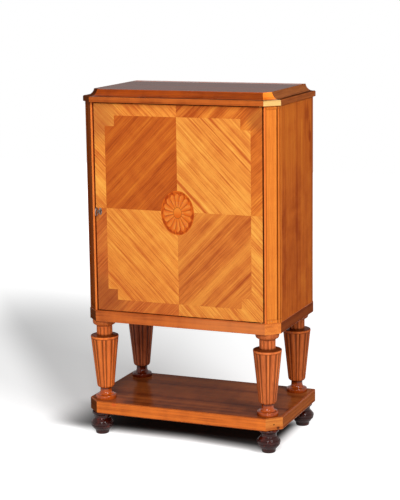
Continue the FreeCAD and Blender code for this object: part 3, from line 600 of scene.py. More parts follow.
def eased(node, width, main, arris, sides=(), body="carcase"):
    """A board with its free arrises rounded by hand, in place of the CAD's sharp one.

    width is in millimetres. sides are tests on a face's normal and middle, each with the
    material it asks for.
    """
    grab()
    piece = bpy.data.objects.new(f"eased_{node}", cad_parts[node].data.copy())
    bpy.context.collection.objects.link(piece)
    grab(piece)
    piece.data.materials.clear()
    for material in (main, arris, *(finish for _, finish in sides)):
        piece.data.materials.append(material)
    edit_all()
    bpy.ops.mesh.remove_doubles(threshold=0.01 * MM)
    bpy.ops.mesh.dissolve_limited(angle_limit=math.radians(0.5))
    if pick(piece, "edges", free_arrises(node)):
        bpy.ops.mesh.bevel(offset=width * MM, segments=2, affect="EDGES", material=1)
    bpy.ops.mesh.select_all(action="SELECT")
    bpy.ops.mesh.normals_make_consistent(inside=False)
    settle(piece, piece.name, 20)
    for face in piece.data.polygons:
        if face.material_index != 1:
            wanted = (k for k, (test, _) in enumerate(sides) if test(face.normal, face.center))
            found = next(wanted, None)
            face.material_index = 0 if found is None else found + 2
    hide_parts(node)
    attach(piece, body)


def screw(radius):
    """The head of a slotted countersunk screw, level with z = 0."""
    shape = ((-0.5, 0.7), (0.0, 1.0), (0.08, 1.0), (0.2, 0.86), (0.26, 0.5))
    head = turned("screw_head", (0, 0), [(h, r * radius) for h, r in shape], 24)
    grab()
    bpy.ops.mesh.primitive_cube_add(
        size=1, location=(0, 0, 0.25 * MM), scale=(radius * 2.4 * MM, radius * 0.26 * MM, 0.6 * MM)
    )
    cutter = bpy.context.object
    grab(head)
    slot = head.modifiers.new("slot", "BOOLEAN")
    slot.operation, slot.object = "DIFFERENCE", cutter
    bpy.ops.object.modifier_apply(modifier="slot")
    bpy.data.objects.remove(cutter)
    return settle(head, "screw_head")


def join(pieces, name):
    """Makes several pieces one."""
    grab(*pieces)
    bpy.ops.object.join()
    return settle(pieces[0], name)


def drive(head, name, rows, body, material):
    """Screws driven into plates or boards. rows are pairs of a direction and its spots."""
    made = []
    for towards, spots in rows:
        upright = Vector(towards).to_track_quat("Z", "Y")
        for spot in spots:
            twin = copy_to(head, name, (0, 0, 0))
            spin = Quaternion((0, 0, 1), 0.35 + len(made) * 0.7)
            twin.rotation_euler = (upright @ spin).to_euler()
            twin.location = Vector(spot) * MM
            made.append(settle(twin, name))
    piece = join(made, name)
    dress([name], material)
    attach(piece, body)


def dress(names, material):
    """Gives CAD nodes or new pieces a material."""
    for name in names:
        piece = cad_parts.get(name) or bpy.data.objects[name]
        if piece.material_slots:
            for slot in piece.material_slots:
                slot.material = material
        else:
            piece.data.materials.append(material)


def tones(kind):
    """The deep, middle and pale colours of one wood."""
    finish = bpy.context.scene.cabinet_finish
    return [tuple(getattr(finish, f"{kind}_{level}")) for level in ("deep", "middle", "pale")]


def mixed(first, second, share):
    """Tones between two woods."""
    return [
        tuple(a + (b - a) * share for a, b in zip(one, two))
        for one, two in zip(first, second)
    ]


def shaded(colours, *levels):
    """Tones made lighter or darker, or each of red, green and blue by its own level."""
    levels = levels if len(levels) == 3 else levels * 3
    return [tuple(part * level for part, level in zip(colour, levels)) for colour in colours]


# Tests on a face, for boards with several materials. A face counts as square to an axis
# when its normal reaches this far along it.

SQUARE = 0.9


def faces_across(normal, middle):
    return abs(normal.x) > SQUARE


def faces_up(normal, middle):
    return normal.z > SQUARE


def faces_down(normal, middle):
    return normal.z < -SQUARE


def faces_ahead(normal, middle):
    return normal.y < -SQUARE


def faces_inwards(normal, middle):
    return normal.x * middle.x < 0 and abs(normal.x) > SQUARE


# Operators


class CABINET_OT_stage(Operator):
    """Sets the camera, the lamps, the floor and the white surroundings"""

    bl_idname = "cabinet.stage"
    bl_label = "Set the stage"

    def execute(self, context):
        levels = context.scene.cabinet_stage
        self.camera(context)
        self.lamp("key_lamp", (1.03, -3.85, 2.85), levels.key_level)
        self.lamp("side_lamp", (2.98, -1.86, 3.2), levels.side_level)
        self.floor()
        self.surroundings(context, levels.around)
        return {"FINISHED"}

    def camera(self, context):
        grab()
        bpy.ops.object.camera_add()
        camera = context.object
        camera.name = "cabinet_camera"
        camera.data.sensor_fit = "VERTICAL"
        camera.data.sensor_height = 36.0
        camera.data.lens = 109.35
        eye = (1.7175, -4.14185, 1.4214)
        yaw, pitch, roll = (math.radians(a) for a in (22.453, 10.867, -0.7655))
        ahead = Vector(
            (-math.sin(yaw) * math.cos(pitch), math.cos(yaw) * math.cos(pitch), -math.sin(pitch))
        )
        level = Vector((math.cos(yaw), math.sin(yaw), 0))
        above = level.cross(ahead)
        side = math.cos(roll) * level + math.sin(roll) * above
        top = -math.sin(roll) * level + math.cos(roll) * above
        turn = Matrix((side, top, -ahead)).transposed().to_4x4()
        camera.matrix_world = Matrix.Translation(eye) @ turn
        context.scene.camera = camera
        context.scene.view_settings.view_transform = "Standard"

    def lamp(self, name, spot, level, aim=(0, 0, 0.55)):
        grab()
        bpy.ops.object.light_add(type="AREA", location=spot)
        lamp = bpy.context.object
        lamp.name = name
        lamp.data.shape = "SQUARE"
        lamp.data.size = 1.4
        lamp.data.energy = level
        away = Vector(spot) - Vector(aim)
        lamp.rotation_euler = away.to_track_quat("Z", "Y").to_euler()

    def floor(self):
        """A pale floor with a painted shadow: dark paint under the shelf, and a glow for the
        camera that is dimmed in a band where the cabinet's shadow falls.
        """
        grab()
        bpy.ops.mesh.primitive_plane_add(size=9.0, location=(0, 1.0, 0))
        floor = settle(bpy.context.object, "studio_floor")
        paint = Finish("studio_floor")
        cloud = paint.noise(paint.spot(), (1.1, 1.1, 1.1), 2.0, 2.0)
        colour = paint.blend(cloud, (0.86, 0.86, 0.86), (0.88, 0.88, 0.88))
        east, north, _ = paint.split(paint.spot())
        ahead = north + east.larger(0.0) * 0.15
        across = east * 0.79 + north * 0.61
        away = (east * east + north * north) ** 0.5
        # Painted shadow: a mask that darkens the floor's paint under the shelf and round its left
        # end.
        under = paint.rise(ahead, -0.138, -0.045) * paint.rise(north, 0.12, 0.22, 1.0, 0.0)
        under = under * paint.rise(east, -0.54, -0.3) * paint.rise(east, 0.24, 0.29, 1.0, 0.0)
        # The glow rises away from the cabinet and stays low in a band along its shadow: painted
        # shadow.
        clear = paint.rise(across, -0.285, -0.474, 0.0, 0.33)
        for place, near, far, level in (
            (across, -0.35, 0.69, 0.54), (ahead, -0.065, -0.138, 0.45), (east, 0.28, 0.34, 0.4)
        ):
            clear = clear.larger(paint.rise(place, near, far, 0.0, level))
        clear = (clear + 0.25) * (1 - under) + paint.rise(away, 1.45, 2.5, 0.0, 0.5)
        colour = paint.blend(under * 0.9, colour, (0.03, 0.03, 0.03))
        plain = paint.node("BsdfDiffuse", {"Color": colour})
        glow = paint.node(
            "Emission", {"Color": (1.0, 1.0, 1.0), "Strength": self.seen(paint) * clear}
        )
        paint.node("OutputMaterial", {"Surface": paint.node("AddShader", {0: plain, 1: glow})})
        floor.data.materials.append(paint.owner)

    def seen(self, paint):
        """1 for what the camera sees, also in polish, metal and glass."""
        path = paint.node("LightPath").socket.node
        camera, glossy, clear = (
            Flow(paint, path.outputs[f"Is {kind} Ray"])
            for kind in ("Camera", "Glossy", "Transmission")
        )
        return camera.larger(glossy).larger(clear)

    def surroundings(self, context, around):
        context.scene.world = bpy.data.worlds.new("white_room")
        room = Finish(context.scene.world)
        level = self.seen(room) * (1 - around) + around
        light = room.node("Background", {"Color": (1.0, 1.0, 1.0), "Strength": level})
        room.node("OutputWorld", {"Surface": light})


class CABINET_OT_feet(Operator):
    """Turns the four dark feet under the shelf"""

    bl_idname = "cabinet.feet"
    bl_label = "Turn the feet"

    def execute(self, context):
        sizes = context.scene.cabinet_turning
        belly, waist, collar = (
            getattr(sizes, f"foot_{part}") / MM for part in ("belly", "waist", "collar")
        )
        shape = [
            (0.0, 17.0), (0.4, 18.0),
            *quarter((0.4, 18.0), (4.0, 20.4), True, 6), (11.0, 21.6), (11.3, 22.6),
            *straight((11.6, 23.2), (20.8, 30.0), 4), (21.2, 29.7), (22.0, 30.8),
            *half_round((22.2, 31.2), (28.4, 33.0), 1.4, 7), (28.8, 33.2),
            *half_round((29.0, 33.4), (38.4, 33.2), belly - 33.3, 10), (38.8, 32.0), (39.5, 31.9),
            *straight((39.8, 32.4), (47.6, waist + 2.6), 6),
            *quarter((47.6, waist + 2.6), (52.5, waist), True, 6),
            *quarter((52.5, waist), (62.2, 27.2), False, 7), (62.6, 27.0), (63.0, 27.8),
            *half_round((63.1, 28.2), (69.9, 28.4), collar - 28.3, 8),
        ]
        polish = foot_polish("aubergine_foot_polish", context.scene.cabinet_finish.foot_black)
        at_corners(
            "foot", lambda name, centre: turned(name, centre, shape, FOOT_SIDES),
            lambda corner: polish,
        )
        return {"FINISHED"}


class CABINET_OT_legs(Operator):
    """Turns, reeds and flutes the four legs"""

    bl_idname = "cabinet.legs"
    bl_label = "Turn the legs"

    # What the wood's colours are multiplied by, and what again above the waist. The rear legs are
    # darker copies: painted shade. Below the waist the colour is darker: partly the wood's tone,
    # partly painted shade.
    LEVELS = {
        "front_left": ((0.8, 0.5, 0.2), (1.6, 2.2, 5.0)),
        "front_right": ((0.8, 0.5, 0.2), (1.6, 2.4, 6.6)),
        "rear_left": ((0.3, 0.13, 0.08), (3.8, 9.5, 27.0)),
        "rear_right": ((0.62, 0.38, 0.17), (1.74, 2.55, 5.3)),
    }
    # What is left of the radius beside each line between two reeds
    REED_CUTS = (0.998, 0.991, 0.973, 0.942, 0.958, 0.971, 0.981, 0.988, 0.993, 0.9965, 0.999)
    # Heights of dark rings at the creases and on the shoulder, their half widths and how dark they
    # are. The rings are painted shade, with dark polish in the creases.
    POLISH_AND_SHADE_RINGS = (
        (12.9, 0.5, 0.6), (34.4, 0.6, 0.9), (189.9, 0.6, 0.75), (198.3, 0.9, 0.9),
        (199.4, 0.3, 0.9), (229.4, 0.5, 0.85),
    )
    # Heights where the neck and the capital begin, depths at which a hollow is fully dark
    # below and on the neck, and how dark hollows and the capital are at most. Hollows are drawn
    # dark with dark polish and painted shade; the capital's darkness is painted shade.
    NECK_FOOT, CAPITAL_FOOT = 199, 231
    DARK_DEPTH, NECK_DARK_DEPTH = 1.8, 2.6
    HOLLOW_MARK, CAPITAL_MARK = 0.88, 0.3
    # How near a vertex lies to its station, in millimetres
    SAME_LEVEL = 0.02
    # Half the angle that a flute takes up, in degrees
    FLUTE_HALF = 6.2

    def execute(self, context):
        at_corners("leg", self.leg, self.polish)
        return {"FINISHED"}

    def polish(self, corner):
        levels, over = self.LEVELS[corner]
        return wood(
            f"polished_leg_wood_{corner}", ALONG_Z, FRONT, shaded(tones("stand"), *levels), 41.0,
            broad=0.5, ribbon=0.6, wander=0.004, hollow=True, coat=0.12, soft=0.03, shine=0.0,
            ringed=(SHELF_TOP + 1 * MM, SHELF_TOP + 33 * MM, 0.5), gloss=0.27,
            above=(SHELF_TOP + 34.5 * MM, over),
        )

    def leg(self, name, centre):
        sizes = bpy.context.scene.cabinet_turning
        disc, waist, cup, taper, rim, neck, cap = (
            getattr(sizes, f"leg_{part}") / MM
            for part in ("disc", "waist", "cup", "taper", "rim", "neck", "capital")
        )
        shape = [
            (0.0, disc - 0.9), *quarter((0.0, disc - 0.9), (1.6, disc), True, 3), (8.8, disc),
            *quarter((8.8, disc), (12.4, disc - 3.0), False, 5),
            (12.7, disc - 4.6), (13.3, disc - 5.0),
            *quarter((13.3, disc - 5.0), (26.0, waist), True, 8),
            (33.9, waist), (34.5, waist - 0.4), (35.0, waist + 0.2),
            *quarter((35.0, waist + 0.2), (44.0, cup), True, 9),
            *straight((44.0, cup), (189.0, taper), 13),
            (189.5, taper - 1.2), (190.3, taper - 1.2), (190.8, rim - 0.8),
            *half_round((190.9, rim - 0.5), (197.4, rim - 0.9), 0.5, 6),
            *quarter((197.4, rim - 0.9), (198.6, 33.0), False, 3),
            (199.0, neck + 1.2), (199.2, neck + 0.3), (199.6, neck),
            *straight((199.6, neck), (217.0, neck), 3),
            *straight((217.0, neck), (227.4, neck), 10),
            (229.2, neck), (229.6, neck + 1.1), (230.3, neck + 1.5), (231.0, neck + 1.4),
            *quarter((231.0, neck + 1.4), (237.8, cap - 0.7), True, 7),
            (238.4, cap - 0.7), (238.8, cap - 0.1), (239.6, cap), (248.5, cap),
        ]
        piece = turned(name, centre, shape, LEG_SIDES, SHELF_TOP)
        bpy.ops.object.mode_set(mode="EDIT")
        reeded = (SHELF_TOP + 35.3 * MM, SHELF_TOP + 189.2 * MM)
        for place, ratio in enumerate(self.REED_CUTS, 1):
            self.press(piece, centre, reeded, sizes.reeds, place, ratio)
        self.flute(piece, centre, sizes.flutes, sizes.flute_depth, sizes.leg_neck)
        settle(piece, name, 24)
        self.darken(piece, centre, shape)
        return piece

    def press(self, piece, centre, between, count, place, ratio):
        """Draws vertices towards the axis, at one place beside each of count lines."""

        def wanted(vert):
            if not between[0] < vert.co.z < between[1]:
                return False
            turn = math.degrees(math.atan2(vert.co.y - centre.y, vert.co.x - centre.x))
            off = (turn - FIRST_GROOVE) % (360 / count)
            return abs(min(off, 360 / count - off) - place * LEG_STEP) < LEG_STEP * 0.4

        if pick(piece, "verts", wanted):
            bpy.ops.transform.resize(
                value=(ratio, ratio, 1), center_override=(centre.x, centre.y, 0)
            )

    def flute(self, piece, centre, flutes, depth, radius):
        """Hollows the flutes of the neck, with round heads."""
        foot, spring, head = (SHELF_TOP + h * MM for h in (199.4, 221.4, 227.0))
        half = self.FLUTE_HALF
        shape = bmesh.from_edit_mesh(piece.data)
        levels = sorted({round(v.co.z, 5) for v in shape.verts if foot < v.co.z < head})
        for level in levels:
            rise = max(0.0, (level - spring) / (head - spring))
            width = half * math.sqrt(max(0.0, 1 - rise * rise))
            between = (level - 0.1 * MM, level + 0.1 * MM)
            for place in range(math.ceil(half / LEG_STEP) + 1):
                across = place * LEG_STEP * (12 / flutes)
                if across < width:
                    fall = math.sqrt(1 - (across / width) ** 2) * depth * (width / half) ** 0.5
                    self.press(piece, centre, between, flutes, place, 1 - fall / radius)

    def darken(self, piece, centre, shape):
        """Marks where the wood is drawn dark: dark polish and painted shade in the grooves and
        hollows, painted shade on the shoulder and the capital.
        """
        marks = piece.data.attributes.new("hollow", "FLOAT", "POINT")
        values = []
        for vert in piece.data.vertices:
            reach = math.hypot(vert.co.x - centre.x, vert.co.y - centre.y)
            level = (vert.co.z - SHELF_TOP) / MM
            here = [r * MM for height, r in shape if abs(height - level) < self.SAME_LEVEL]
            full = max(here, default=reach)
            dark = self.NECK_DARK_DEPTH if level > self.NECK_FOOT else self.DARK_DEPTH
            depth = min(1.0, max(0.0, (full - reach) / (dark * MM)))
            ringed = [mark for at, half, mark in self.POLISH_AND_SHADE_RINGS if abs(level - at) <= half]
            shoulder = self.CAPITAL_MARK if level > self.CAPITAL_FOOT else 0.0
            values.append(max([depth * self.HOLLOW_MARK, shoulder, *ringed]))
        marks.data.foreach_set("value", values)


class CABINET_OT_stand(Operator):
    """Finishes the shelf and the frame that carries the carcase"""

    bl_idname = "cabinet.stand"
    bl_label = "Finish the stand"

    def execute(self, context):
        golden, stand = tones("golden"), tones("stand")
        # Painted light: the shelf's top and front rim drawn lighter and redder near the front left
        # corner.
        painted_light_corner = ((-0.24, -0.155, 0.1076), 0.07, linear("#A8552A"), 0.7)
        rubbed_spot = ((-0.215, -0.164, 0.104), 0.01, linear("#E8592B"), 0.55)
        brighter_end = ((0.24, -0.159, 0.372), 0.3, linear("#E0864A"), 0.45)
        knots = (((0.2905, -0.1445, 0.088), 0.0035, KNOT, 0.85),
                 ((0.3, -0.135, 0.0755), 0.007, KNOT, 0.85))
        board = wood("shelf_board_wood", ALONG_X, UP, shaded(stand, 0.5, 0.48, 0.48), 3.0,
                     broad=0.6, ribbon=0.6, mottle=0.35, coat=0.1, soft=0.2, shine=0.0,
                     gloss=0.4, marks=(painted_light_corner,), widths=(0.09, 0.016, 0.0021))
        arris = wood("stand_arris_wood", ALONG_X, FRONT, shaded(stand, 0.75, 0.62, 0.5), 4.0,
                     broad=0.3, ribbon=0.4, coat=0.08)
        side = wood("stand_side_wood", ALONG_Y, RIGHT_SIDE, shaded(stand, 0.37, 0.29, 0.32), 9.0,
                    broad=0.6, **DULL)
        rim = wood("shelf_rim_wood", ALONG_X, UP, shaded(stand, 0.6, 0.5, 0.45), 8.0,
                   broad=0.3, ribbon=0.4, coat=0.07, soft=0.3, shine=0.0, marks=(painted_light_corner,))
        under = wood("stand_underside_wood", ALONG_X, UP, shaded(stand, 0.6), 14.0, coat=0.0,
                     shine=0.0, gloss=0.55)
        front = wood("shelf_front_wood", ALONG_X, FRONT, shaded(stand, 1.32, 1.2, 0.8), 5.0,
                     ribbon=0.6, mottle=0.3, marks=(rubbed_spot,))
        cant = wood("stand_right_cant_wood", (1, 1, 0), (1, -1, 0), mixed(stand, golden, 0.5),
                    11.0, broad=0.3, marks=knots)
        # The left cants are drawn much darker than the right cant of the same wood: painted shade.
        left_cant = wood("stand_left_cant_wood", (1, -1, 0), (-1, -1, 0), shaded(stand, 0.3),
                         13.0, **DULL)
        edge = wood("shelf_side_wood", ALONG_Y, RIGHT_SIDE, shaded(stand, 0.8, 0.85, 0.95), 12.0,
                    broad=0.4, ribbon=0.6, **DULL)
        rail = wood("stand_front_wood", ALONG_X, FRONT, shaded(stand, 1.03, 0.93, 0.8), 6.0,
                    ribbon=0.5, mottle=0.4, marks=(brighter_end,))
        back = wood("stand_back_wood", ALONG_X, FRONT, shaded(stand, 0.8), 7.0, **DULL)
        facing = wood("stand_facing_wood", ALONG_Y, RIGHT_SIDE,
                      shaded(mixed(stand, golden, 0.3), 1.15, 1.1, 1.0), 10.0, broad=0.3,
                      ribbon=0.5)
        dress(["shelf_board"], board)
        low = ((faces_down, under),)
        flats, ends = ((faces_up, rim), *low), ((faces_across, side), *low)
        for node, width, main, sides in (
            ("shelf_lipping_front", 1.2, front, flats),
            ("shelf_lipping_right_cant", 1.2, cant, flats),
            ("shelf_lipping_left_cant", 1.2, left_cant, flats),
            ("shelf_lipping_right", 1.2, edge, flats),
            ("shelf_lipping_left", 1.2, edge, flats),
            ("base_rail_front", 1.0, rail, ends),
            ("base_rail_back", 1.0, back, ends),
            ("base_rail_left", 1.0, side, low),
            ("base_rail_right", 1.0, side, low),
            ("base_facing_right", 1.0, facing, low),
            ("base_facing_left", 1.0, left_cant, low),
        ):
            eased(node, width, main, arris, sides)
        return {"FINISHED"}


class CABINET_OT_carcase(Operator):
    """Finishes the posts, the sides, the back and the inside of the carcase"""

    bl_idname = "cabinet.carcase"
    bl_label = "Finish the carcase"

    def execute(self, context):
        golden, russet, stand = tones("golden"), tones("russet"), tones("stand")
        thin = {"broad": 0.3, "ribbon": 0.4, "shine": 0.0}
        arris = wood("post_arris_wood", ALONG_Z, FRONT, shaded(stand, 0.62, 0.5, 0.4), 20.0,
                     **thin)
        strip = wood("post_strip_wood", ALONG_Z, FRONT, shaded(golden, 1.12, 0.78, 0.85), 24.0,
                     broad=0.2, ribbon=0.3, shine=0.0)
        reveal = wood("post_reveal_wood", ALONG_Z, RIGHT_SIDE, shaded(stand, 0.6, 0.24, 0.3),
                      28.0, **thin)
        bare = linear("#A88878")
        worn = (
            ((0.2935, -0.1437, 0.4425), 0.0035, KNOT, 0.85),
            ((0.2785, -0.1485, 0.4), 0.0028, bare, 0.7),
            ((0.284, -0.1425, 0.3965), 0.0022, bare, 0.6),
            ((0.2935, -0.133, 0.401), 0.0026, bare, 0.7),
            ((0.2985, -0.129, 0.399), 0.002, bare, 0.5),
        )
        # The left post is drawn darker than the right one: painted shade.
        for side, sign, colours in (
            ("left", 1, shaded(stand, 0.6, 0.5, 0.36)),
            ("right", -1, shaded(mixed(stand, golden, 0.45), 1.12, 1.04, 0.82)),
        ):
            # Painted shade: dark levels under the cornice and over the base, and dark lines along
            # the groove and the field's edges.
            main = wood(
                f"post_{side}_wood", ALONG_Z, (-sign, -1, 0), colours, 21.0 + sign, broad=0.25,
                ribbon=0.4, levels=((1.0062, 0.0011, 0.55), (0.3995, 0.0011, 0.4)), marks=worn,
                lines=((sign * 0.0863, 0.0014, 0.5), (sign * 0.1205, 0.0019, 0.85),
                       (sign * 0.1285, 0.0016, 0.6)),
                **DULL,
            )
            eased(f"front_post_{side}", 0.5, main, arris,
                  ((faces_ahead, strip), (faces_inwards, reveal)))
        rear = wood("rear_post_wood", ALONG_Z, RIGHT_SIDE, shaded(russet, 0.8), 23.0, broad=0.3,
                    **DULL)
        for node in ("rear_post_right", "rear_post_left"):
            eased(node, 0.8, rear, arris)
        figure = (
            (0.955, -0.122, 0.05, 0.016, -0.35), (0.92, -0.142, 0.045, 0.014, -0.45),
            (0.979, -0.068, 0.03, 0.008, -0.2), (0.955, -0.007, 0.024, 0.006, -0.25),
            (0.95, -0.1, 0.06, 0.012, -0.2), (0.65, 0.088, 0.26, 0.02, -0.15),
            (0.72, -0.03, 0.12, 0.05, -0.15), (0.86, -0.15, 0.06, 0.01, -0.35),
            (0.95, 0.05, 0.2, 0.2, 0.15), (0.55, 0.0, 0.2, 0.2, -0.1),
        )
        veneer = wood("side_veneer", ALONG_Z, RIGHT_SIDE, shaded(russet, 0.93, 0.88, 0.72), 25.0,
                      broad=0.4, ribbon=0.45, fibre=0.7, mottle=0.25, clouds=figure,
                      widths=(0.05, 0.012, 0.0021), **DULL)
        dress(["side_panel_right", "side_panel_left"], veneer)
        plain = shaded(stand, 0.72)
        dress(["back_panel"], wood("back_wood", ALONG_Z, FRONT, plain, 27.0, coat=0.05, gloss=0.5))
        inner = wood("inner_wood", ALONG_X, UP, shaded(stand, 0.85), 29.0, coat=0.15, gloss=0.4)
        dress(["carcase_floor", "carcase_ceiling"], inner)
        edge = wood("inner_edge_wood", ALONG_X, FRONT, shaded(golden, 0.75), 30.0, coat=0.1)
        eased("inner_shelf", 1.5, inner, edge, ((faces_ahead, edge),))
        bearer = wood("bearer_wood", ALONG_Y, RIGHT_SIDE, plain, 31.0, coat=0.1, gloss=0.45)
        eased("shelf_bearers", 1.0, bearer, bearer)
        return {"FINISHED"}


class CABINET_OT_cornice(Operator):
    """Finishes the top board and the cornice round it"""

    bl_idname = "cabinet.cornice"
    bl_label = "Finish the cornice"

    def execute(self, context):
        stand = tones("stand")
        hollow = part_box("cornice_front")[0].z + 16.6 * MM
        # A dark line at the crease between the fascia and the cavetto: painted shade.
        crease_shade = ((hollow, 0.0009, 0.75),)
        board = wood("top_board_wood", ALONG_X, UP, shaded(stand, 0.25, 0.17, 0.1), 51.0,
                     broad=0.4, ribbon=0.4, coat=0.25, shine=0.0, gloss=0.35)
        arris = wood("cornice_arris_wood", ALONG_X, FRONT, shaded(stand, 0.55, 0.42, 0.3), 52.0,
                     broad=0.3, ribbon=0.4, shine=0.0)
        front = wood("cornice_front_wood", ALONG_X, FRONT, shaded(stand, 0.95, 0.82, 0.58), 53.0,
                     broad=0.3, ribbon=0.6, mottle=0.35, levels=crease_shade,
                     above=(hollow, (0.76, 0.57, 0.32)))
        # Above the fascia the side is drawn paler and bluer: a painted reflection.
        side = wood("cornice_side_wood", ALONG_Y, RIGHT_SIDE, shaded(stand, 0.7), 55.0,
                    broad=0.3, ribbon=0.6, levels=crease_shade, coat=0.03, shine=0.0,
                    above=(hollow, (0.88, 1.02, 1.25)))
        # The right cant's pale gold fascia is a painted highlight; over the fascia its colour is
        # brought back to a deeper red.
        pale = wood("cornice_right_cant_wood", (1, 1, 0), (1, -1, 0),
                    [linear(code) for code in ("#C98A48", "#E3B870", "#EBCB8C")], 57.0,
                    broad=0.2, ribbon=0.5, mottle=0.35, levels=crease_shade,
                    above=(hollow, (1.45, 0.56, 0.15)))
        # The left cant is drawn near black: painted shade.
        dark = wood("cornice_left_cant_wood", (1, -1, 0), (-1, -1, 0),
                    shaded(stand, 0.26, 0.22, 0.2), 59.0, broad=0.3, **DULL)
        dress(["top_board"], board)
        for part, main in (
            ("front", front), ("batten", front), ("right", side), ("left", side),
            ("right_cant", pale), ("left_cant", dark),
        ):
            eased(f"cornice_{part}", 0.6, main, arris)
        return {"FINISHED"}


class CABINET_OT_door(Operator):
    """Lays the door's matched veneers, its banding and the oval inlay"""

    bl_idname = "cabinet.door"
    bl_label = "Veneer the door"

    STREAKS = {
        "upper_left": (
            (0.146, 0.005, 0.35), (0.126, 0.008, -0.3), (0.188, 0.005, -0.15),
            (0.2, 0.007, 0.15), (0.228, 0.009, -0.3), (0.252, 0.009, 0.2),
            (0.28, 0.012, -0.25), (0.07, 0.05, -0.08),
        ),
        "upper_right": (
            (0.266, 0.006, -0.6), (0.247, 0.003, -0.3), (0.226, 0.003, -0.25),
            (0.201, 0.003, -0.25), (0.175, 0.003, -0.3), (0.076, 0.008, 0.3),
            (0.062, 0.007, -0.65), (0.03, 0.02, 0.2),
        ),
        "lower_left": (
            (-0.173, 0.008, -0.3), (-0.219, 0.004, -0.25), (-0.295, 0.006, -0.3),
            (-0.145, 0.004, -0.2), (-0.124, 0.008, 0.2), (-0.085, 0.03, 0.15),
            (-0.26, 0.03, -0.1),
        ),
        "lower_right": (
            (-0.107, 0.01, 0.3), (-0.133, 0.009, -0.3), (-0.15, 0.003, 0.2),
            (-0.165, 0.008, -0.15), (-0.222, 0.012, 0.35), (-0.265, 0.005, 0.2),
            (-0.28, 0.01, -0.35),
        ),
    }

    def execute(self, context):
        golden, russet, stand = tones("golden"), tones("russet"), tones("stand")
        rising, falling = (1, 0, 1), (1, 0, -1)
        for part, along, colours, seed in (
            ("upper_left", rising, shaded(russet, 0.91, 0.78, 0.6), 61.0),
            ("upper_right", falling, shaded(golden, 1.03, 1.06, 1.08), 63.0),
            ("lower_left", falling, shaded(golden, 1.03, 0.98, 0.94), 65.0),
            ("lower_right", rising, mixed(russet, golden, 0.3), 67.0),
        ):
            field = wood(f"veneer_{part}_wood", along, FRONT, colours, seed, DOOR_CENTRE,
                         broad=0.4, ribbon=0.3, fibre=0.95, mottle=0.22,
                         streaks=self.STREAKS[part], widths=(0.06, 0.008, 0.0022))
            dress([f"veneer_{part}"], field)
        dim, dark = linear("#B4622E"), linear("#8C4420")
        upper = shaded(mixed(golden, russet, 0.75), 1.02, 0.94, 0.8)
        lower = shaded(mixed(golden, russet, 0.85), 0.95, 0.86, 0.95)
        for part, along, colours, seed, broad, *marks in (
            ("upper_left", falling, shaded(golden, 1.08, 1.04, 1.0), 71.0, 0.45,
             ((-0.25, -0.153, 0.96), 0.09, dim, 0.6)),
            ("upper_right", rising, upper, 73.0, 0.9,
             ((0.25, -0.153, 0.975), 0.045, dark, 0.55)),
            ("lower_left", rising, lower, 75.0, 0.5, ((-0.24, -0.153, 0.43), 0.1, dark, 0.5)),
            ("lower_right", falling, golden, 77.0, 0.5),
        ):
            band = wood(f"banding_{part}_wood", along, FRONT, colours, seed, DOOR_CENTRE,
                        broad=broad, ribbon=0.55, fibre=1.1, mottle=0.3, marks=marks,
                        widths=(0.035, 0.007, 0.002))
            dress([f"banding_{part}"], band)
        inlay = [linear(code) for code in ("#B0420E", "#DA641A", "#EA8630")]
        dress(["medallion"], oval_patera("oval_patera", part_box("medallion"), inlay))
        upright = wood("door_edge_upright_wood", ALONG_Z, FRONT, shaded(stand, 0.8), 81.0)
        flat = wood("door_edge_level_wood", ALONG_X, FRONT, shaded(stand, 0.8), 83.0)
        for part, main in (
            ("left", upright), ("right", upright), ("top", flat), ("bottom", flat)
        ):
            eased(f"door_lipping_{part}", 0.5, main, main, body="door")
        back = wood("door_back_veneer", ALONG_Z, FRONT, shaded(russet, 0.9), 85.0, coat=0.2)
        dress(["door_core"], back)
        return {"FINISHED"}


